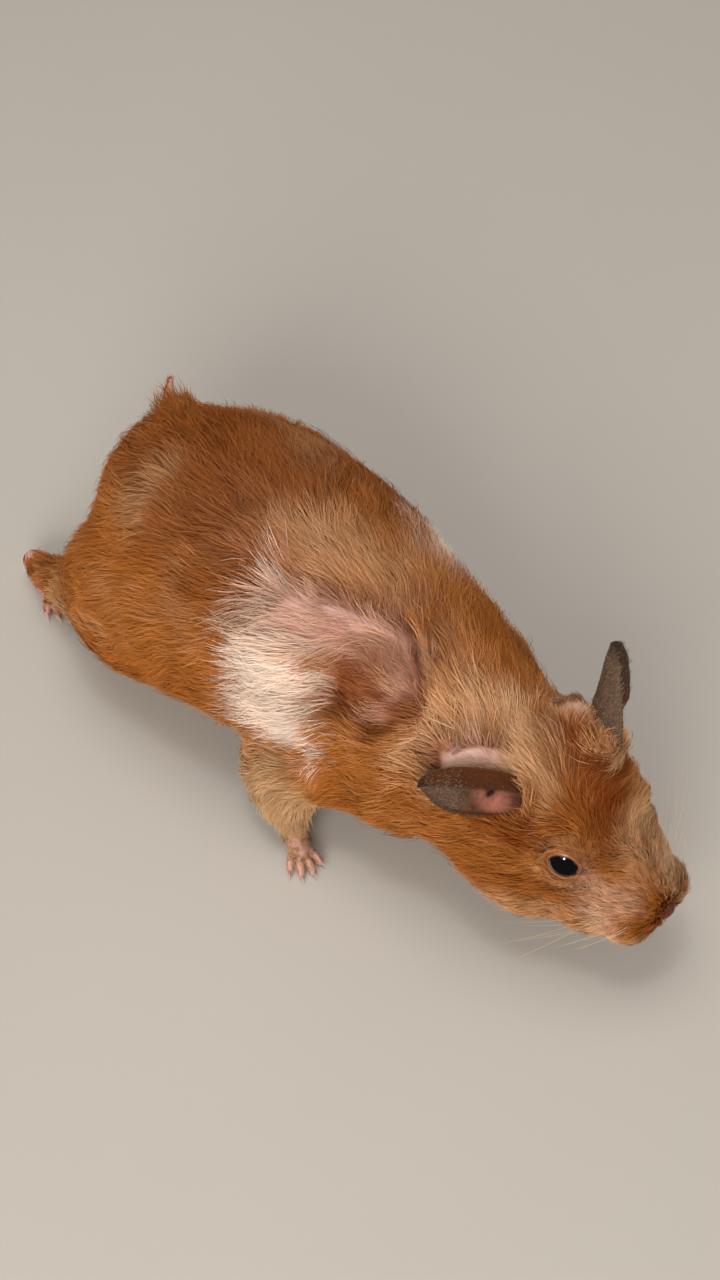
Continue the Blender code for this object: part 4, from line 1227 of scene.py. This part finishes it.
for where, reach, _, stand, long in TUFTS.values():
    near = spot(skin_points, where, (reach,) * 3, 0.7)
    length = toward(length, long, near)
    density = toward(density, 20, near)
    height = toward(height, stand, near)
far_brow = spot(skin_points, eye_centre["left"] + (-1.2, -3.2, 4.2), (6.0, 3.2, 3.2), 0.5)
length = toward(length, 3.6, far_brow)
height = toward(height, 2.2, far_brow)
face = ramp(ahead, 27, 31)
length = toward(length, 2.9, face * ramp(np.linalg.norm(skin_points - nose_centre, axis=1), 3.0, 6.0))
width = toward(width, 0.11, face)
gather = toward(gather, 0.6, face)
snout_top = stroke(head, ((30.0, 2.0, 5.4), (36.0, 3.0, 2.6)), 3.4, 0.8)
snout_far = stroke(head, ((41.0, 4.6, -2.4), (41.1, 6.9, -6.2)), 2.4, 0.8)
length = toward(length, 3.2, np.maximum(snout_top, snout_far))
fuzz = 0.3 * face + 1.2 * snout_far  # where the tips stand off at all heights
under_ear = stroke(skin_points, BELOW_RIGHT_EAR, 2.6, 0.7)
length = toward(length, 5.6, under_ear)
height = height + 2.2 * under_ear
before_lump = stroke(skin_points, LUMP_SHADE, 3.0, 0.5)
length = toward(length, 3.6, before_lump)
near_tail = ramp(x, -56, -62) * ramp(np.linalg.norm(skin_points - centre_of("tail"), axis=1), 11.0, 6.0)
length = toward(length, 4.5, near_tail)
length = np.where(is_paw, 1.3, length)
density = np.where(is_paw, 12.0 * ramp(normals[:, 2], 0.25, 0.6), density)
width = np.where(is_paw, 0.09, width)
height = np.where(is_paw, 0.25, height)

# Roots, spread over the hide by area and density.
thirds = np.vstack([skin_faces[:, [0, 1, 2]], skin_faces[:, [0, 2, 3]]])
corner_unwrap = np.concatenate([skin_unwrap[:, [0, 1, 2]], skin_unwrap[:, [0, 2, 3]]])
a, b, c = (skin_points[thirds[:, k]] for k in range(3))
area = np.linalg.norm(np.cross(b - a, c - a), axis=1) / 2


def roots_on(weights, count):
    """Roots at random on the hide: triangle and corner shares of each."""
    chosen = rng.choice(len(thirds), count, p=weights / weights.sum())
    r1, r2 = np.sqrt(rng.random(count)), rng.random(count)
    return chosen, np.stack([1 - r1, r1 * (1 - r2), r1 * r2], axis=1)


def at_roots(values, chosen, shares):
    corners = values[thirds[chosen]]
    return (corners * shares[(...,) + (None,) * (values.ndim - 1)]).sum(axis=1)


root_weights = area * density[thirds].mean(axis=1)
lock_crowding = 0.5 + 0.5 * ramp(ahead, 4, 20) + 2.0 * ramp(ahead, 26, 31)
lock_weights = area * lock_crowding[thirds].mean(axis=1)


def grow(chosen, shares, spread, layer):
    """Combed lines of hairs from those roots, with the normals and the places of the roots."""
    roots, n = at_roots(skin_points, chosen, shares), unit(at_roots(normals, chosen, shares))
    count = len(roots)
    swirl = 0.26 * ripple(roots, 15.0, 11) + 0.15 * ripple(roots, 5.0, 12)
    turns = swirl + spread * rng.normal(size=count)
    bends = 0.16 * ripple(roots, 7.0, 13) + 0.5 * spread * rng.normal(size=count)
    lengths = layer.long * at_roots(length, chosen, shares) * rng.uniform(0.7, 1.25, count)
    heights = at_roots(height, chosen, shares) * rng.uniform(layer.low, layer.high, count)
    stray = (rng.random(count) < layer.stray) * rng.uniform(0.2, 1.6, count)
    frizz = at_roots(fuzz, chosen, shares) * rng.uniform(0, 1, count)
    heights = heights + stray * np.clip(lengths / 7, 0.2, 1) + frizz
    lines = comb(skin_surface, roots, n, lie_of(roots, n), lengths, heights, turns, bends, layer.steps)
    return lines, n, roots


def free_of_ears(lines, chances):
    """Which hairs keep out of the hollows of the ears, above the fur round their roots."""
    clear = np.ones(len(lines), bool)
    for name, (sheet, inward, _, _, s2, a2, _) in ear_surfaces.items():
        tree_of_sheet = ear_trees[name]
        low, high = sheet.min(axis=0) - 3.5, sheet.max(axis=0) + 3.5
        for k in range(1, lines.shape[1]):
            at = lines[:, k]
            for i in np.flatnonzero(np.all((at > low) & (at < high), axis=1) & clear):
                _, index, away = tree_of_sheet.find(at[i])
                offset = at[i] - sheet[index]
                if s2[index] < FREE_FROM[name] + 0.14 * chances[i]:
                    continue
                if name == "ear_right" and a2[index] < -0.4:
                    continue
                rim_slack = 0.9 if abs(a2[index]) > 0.9 else 0.0
                if away < 0.3 or (rim_slack < away < 4.0 and offset @ inward[index] > 0.4 * away):
                    clear[i] = False
    return clear


FREE_FROM = {"ear_left": 0.34, "ear_right": 0.06}
ear_trees = {}
for name, (sheet, _, _, _, s2, _, _) in ear_surfaces.items():
    free = np.flatnonzero(s2[: len(sheet)] > FREE_FROM[name])
    ear_trees[name] = KDTree(len(free))
    for i in free:
        ear_trees[name].insert(sheet[i], i)
    ear_trees[name].balance()

# The locks, each led by one guard hair that the hairs round it lean to.
guide_steps = LAYERS["coat"].steps
locks_chosen, locks_shares = roots_on(lock_weights, int(area.sum() / LOCK_AREA))
guides, _, guide_roots = grow(locks_chosen, locks_shares, 0.26, LAYERS["coat"])
lock_chances = rng.random(len(guides))
lock_jitter = 0.9 * rng.normal(size=(len(guides), 3))
lock_tree = KDTree(len(guides))
for i, point in enumerate(guide_roots.tolist()):
    lock_tree.insert(point, i)
lock_tree.balance()

for layer_name, layer in LAYERS.items():
    chosen, shares = roots_on(root_weights, layer.hairs)
    chances = rng.uniform(*layer.dimmest, layer.hairs)
    lines, root_normals, roots = grow(chosen, shares, 0.2, layer)
    lock = np.array([lock_tree.find(p)[1] for p in roots.tolist()])
    pull = layer.pull * at_roots(gather, chosen, shares) * rng.uniform(0.3, 1.2, layer.hairs)
    for k, step in enumerate(layer.steps):
        after = max(1, int(np.searchsorted(guide_steps, step)))
        share = (step - guide_steps[after - 1]) / (guide_steps[after] - guide_steps[after - 1])
        led_to = guides[lock, after - 1] * (1 - share) + guides[lock, after] * share
        lines[:, k] += (led_to - lines[:, k]) * (np.clip(pull, 0, 0.9) * step**1.4)[:, None]
    clear = free_of_ears(lines, chances)
    hair_widths = layer.wide * at_roots(width, chosen, shares) * rng.uniform(0.7, 1.3, layer.hairs)
    hair_rolls = rng.normal(size=layer.hairs) * 0.5
    patches = (corner_unwrap[chosen] * shares[..., None]).sum(axis=1)
    strand = np.stack([chances, lock_chances[lock]], axis=1)
    # Markings meet in wisps: each lock, and each hair, has its colour from a place near its root.
    jitter = lock_jitter[lock] + 0.45 * rng.normal(size=(layer.hairs, 3))
    root_head = in_head(roots)[:, 0]
    coat_marks = markings(roots + jitter * (1 - 0.6 * ramp(root_head, 10, 20))[:, None])
    beside = np.where(roots[:, 1] > 4.0, "left", "right")
    at_leg = at_roots(leg_near, chosen, shares) > 0.55
    at_paw = at_roots(is_paw.astype(float), chosen, shares) > 0.5
    region = np.where(roots[:, 0] > 6.0, "shoulder", np.where(roots[:, 0] > -28.0, "flank", "rump"))
    region = np.where(root_head > -2, "neck", region)
    region = np.where(root_head > 10, "head", region)
    region = np.where(root_head > 29, "muzzle", region)
    region = np.where(at_leg & (root_head < -2), np.where(roots[:, 0] > -10, "foreleg", "hindleg"), region)
    region = np.where(at_paw, "paw", region)
    label = np.char.add(np.char.add(region, "_"), beside)
    for name in np.unique(label):
        here = clear & (label == name)
        found = {key: value[here] for key, value in coat_marks.items()}
        fur_mesh = hair_mesh(
            f"{layer_name}_{name}", lines[here], root_normals[here], hair_widths[here], hair_rolls[here],
            patches[here], strand[here], layer.steps, found,
        )
        fur = place(f"{layer_name}_{name}", fur_mesh, hair_finish)
        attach(fur, "root")


def short_hair(name, surface, wanted, count, way, size, places, finish, marked=False):
    """Very short hairs over a small surface, as one object."""
    quads = surface.faces
    corners = surface.points[quads]
    first, second = corners[:, 2] - corners[:, 0], corners[:, 3] - corners[:, 1]
    areas = np.linalg.norm(np.cross(first, second), axis=1)
    picked = rng.choice(len(quads), count, p=wanted * areas / (wanted * areas).sum())
    u, v = rng.random((2, count))
    shares = np.stack([(1 - u) * (1 - v), u * (1 - v), u * v, (1 - u) * v], axis=1)[..., None]
    roots = (corners[picked] * shares).sum(axis=1)
    n = unit((surface.normals[quads[picked]] * shares).sum(axis=1))
    (long, wide, high), steps = size, LAYERS["underfur"].steps
    way = way(roots) if callable(way) else np.tile(way, (count, 1)) + 0.25 * n
    lines = comb(
        surface, roots, n, way, long * rng.uniform(0.6, 1.3, count), high * rng.uniform(0.3, 1.6, count),
        0.45 * rng.normal(size=count), 0.2 * rng.normal(size=count), steps,
    )
    widths, rolls = wide * rng.uniform(0.7, 1.3, count), 0.5 * rng.normal(size=count)
    strand = rng.random((count, 2)) ** (0.6 if marked else 1.6)
    found = markings(roots) if marked else None
    mesh = hair_mesh(name, lines, n, widths, rolls, places[picked], strand, steps, found)
    return place(name, mesh, finish)


# The short hair of the lids, which lies away from the opening.
for side, (surface, middle_of_eye) in lid_surfaces.items():
    row = np.arange(len(surface.faces)) // LID_SIDES
    column = np.arange(len(surface.faces)) % LID_SIDES
    eye_out = unit(surface.points[: 5 * LID_SIDES].mean(axis=0) - middle_of_eye)

    def away_from_eye(roots):
        ray = unit(roots - middle_of_eye)
        return unit(ray - eye_out * (ray @ eye_out)[:, None]) * 0.6 - 0.7 * head_ahead

    places = np.stack([0.02 + 0.9 * column / LID_SIDES, 0.05 + 0.08 * row], axis=1)
    wanted = np.where(row >= 5, 1.0, 0.0)
    lid_fur = short_hair(
        f"coat_lids_{side}", surface, wanted, LID_HAIRS, away_from_eye, LID_HAIR_SIZE, places,
        hair_finish, marked=True,
    )
    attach(lid_fur, "root")


# ---- Down of the ears ------------------------------------------------------------------------
# Very short whitish hairs over both faces of each ear, lying towards its tip. The opening of the ear
# and the pink skin round it have next to none.

DOWN = {"ear_left": 5200, "ear_right": 4200}
DOWN_SIZE = (1.1, 0.06, 0.28)  # length, width and height over the skin

# Fine hair that looks silvery over the dark skin.
down_finish, tree, shader = new_finish("ear down", roughness=0.7, specular_ior_level=0.1)
share, chance, _ = parts_of(tree, "strand")
tone = blend_of(tree, chance, linear("#64503f"), linear("#a08b74"))
tree.links.new(tone, shader.inputs["Base Color"])

for name, (sheet, inward, along, surface, s2, a2, inside) in ear_surfaces.items():
    quads = surface.faces
    s_mid, a_mid = s2[quads].mean(axis=1), a2[quads].mean(axis=1)
    wanted = ramp(s_mid, 0.1, 0.3)
    if name == "ear_right":
        hollow = inside[quads].mean(axis=1) * ramp(s_mid, 0.66, 0.56)
        wanted = wanted * (1 - 0.95 * hollow) * (1 - 0.6 * ramp(a_mid, 0.1, 0.3))
    outer_face = np.arange(len(quads)) >= len(quads) // 2
    across_map = 0.02 + 0.46 * (a_mid + 1) / 2 + 0.5 * outer_face
    places = np.stack([across_map, 0.02 + 0.9 * s_mid], axis=1)
    down = short_hair(f"down_{name}", surface, wanted, DOWN[name], along, DOWN_SIZE, places, down_finish)
    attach(down, "root")


# ---- Whiskers --------------------------------------------------------------------------------
# Fine tapered bristles, rooted in rows on the pads of the upper lip and swept back beside the
# cheeks.

WHISKER_SIDES, WHISKER_STEPS, WHISKER_ROOT = 5, 14, 0.032

# Smooth horn-like hair, almost clear.
whisker_finish, tree, shader = new_finish("whisker", roughness=0.35, specular_ior_level=0.5)
shader.inputs["Base Color"].default_value = linear("#e4c9a6")


def from_head(ahead, left, up):
    """A place given in the head's frame, in the solids' own."""
    return between_eyes + head_ahead * (ahead - EYES_AHEAD) + head_left * left + head_up * (up - EYES_UP)


for side, sign in (("left", 1), ("right", -1)):
    points, faces = [], []
    for row in range(3):
        for place_in_row in range(4):
            aside = sign * (5.0 + 0.75 * place_in_row)
            start = from_head(38.6 - 1.5 * place_in_row, aside, -4.0 - 1.25 * row)
            _, index, _ = skin_surface.tree.find(start)
            start, out = skin_surface.points[index], skin_surface.normals[index]
            reach = 9.5 + 2.2 * place_in_row - 0.8 * row + rng.uniform(-1, 1)
            sweep = -0.55 * head_ahead + sign * 0.75 * head_left + (0.12 - 0.13 * row) * head_up
            sweep = unit(sweep + 0.1 * rng.normal(size=3))
            t = np.linspace(0, 1, WHISKER_STEPS)[:, None]
            droop = 0.3 * (sweep - 0.35 * head_up - 0.5 * out)
            line = start - out * 0.3 + t * reach * unit(out * 0.5 + sweep) + t**2 * reach * droop
            thick = WHISKER_ROOT * (1 - t[:, 0]) ** 0.8 + 0.008
            first = unit(np.cross(sweep, head_up))
            second = unit(np.cross(sweep, first))
            turn_by = np.linspace(0, 2 * math.pi, WHISKER_SIDES, False)
            ring = np.cos(turn_by)[:, None] * first + np.sin(turn_by)[:, None] * second
            rooted = sum(len(p) for p in points)
            faces.append(grid_faces(WHISKER_STEPS, WHISKER_SIDES, True)[:, ::-1] + rooted)
            points.append((line[:, None, :] + ring[None] * thick[:, None, None]).reshape(-1, 3))
    whisker_mesh = mesh_of(f"whiskers_{side}", np.vstack(points), np.vstack(faces))
    whiskers = place(f"whiskers_{side}", whisker_mesh, whisker_finish)
    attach(whiskers, "root")
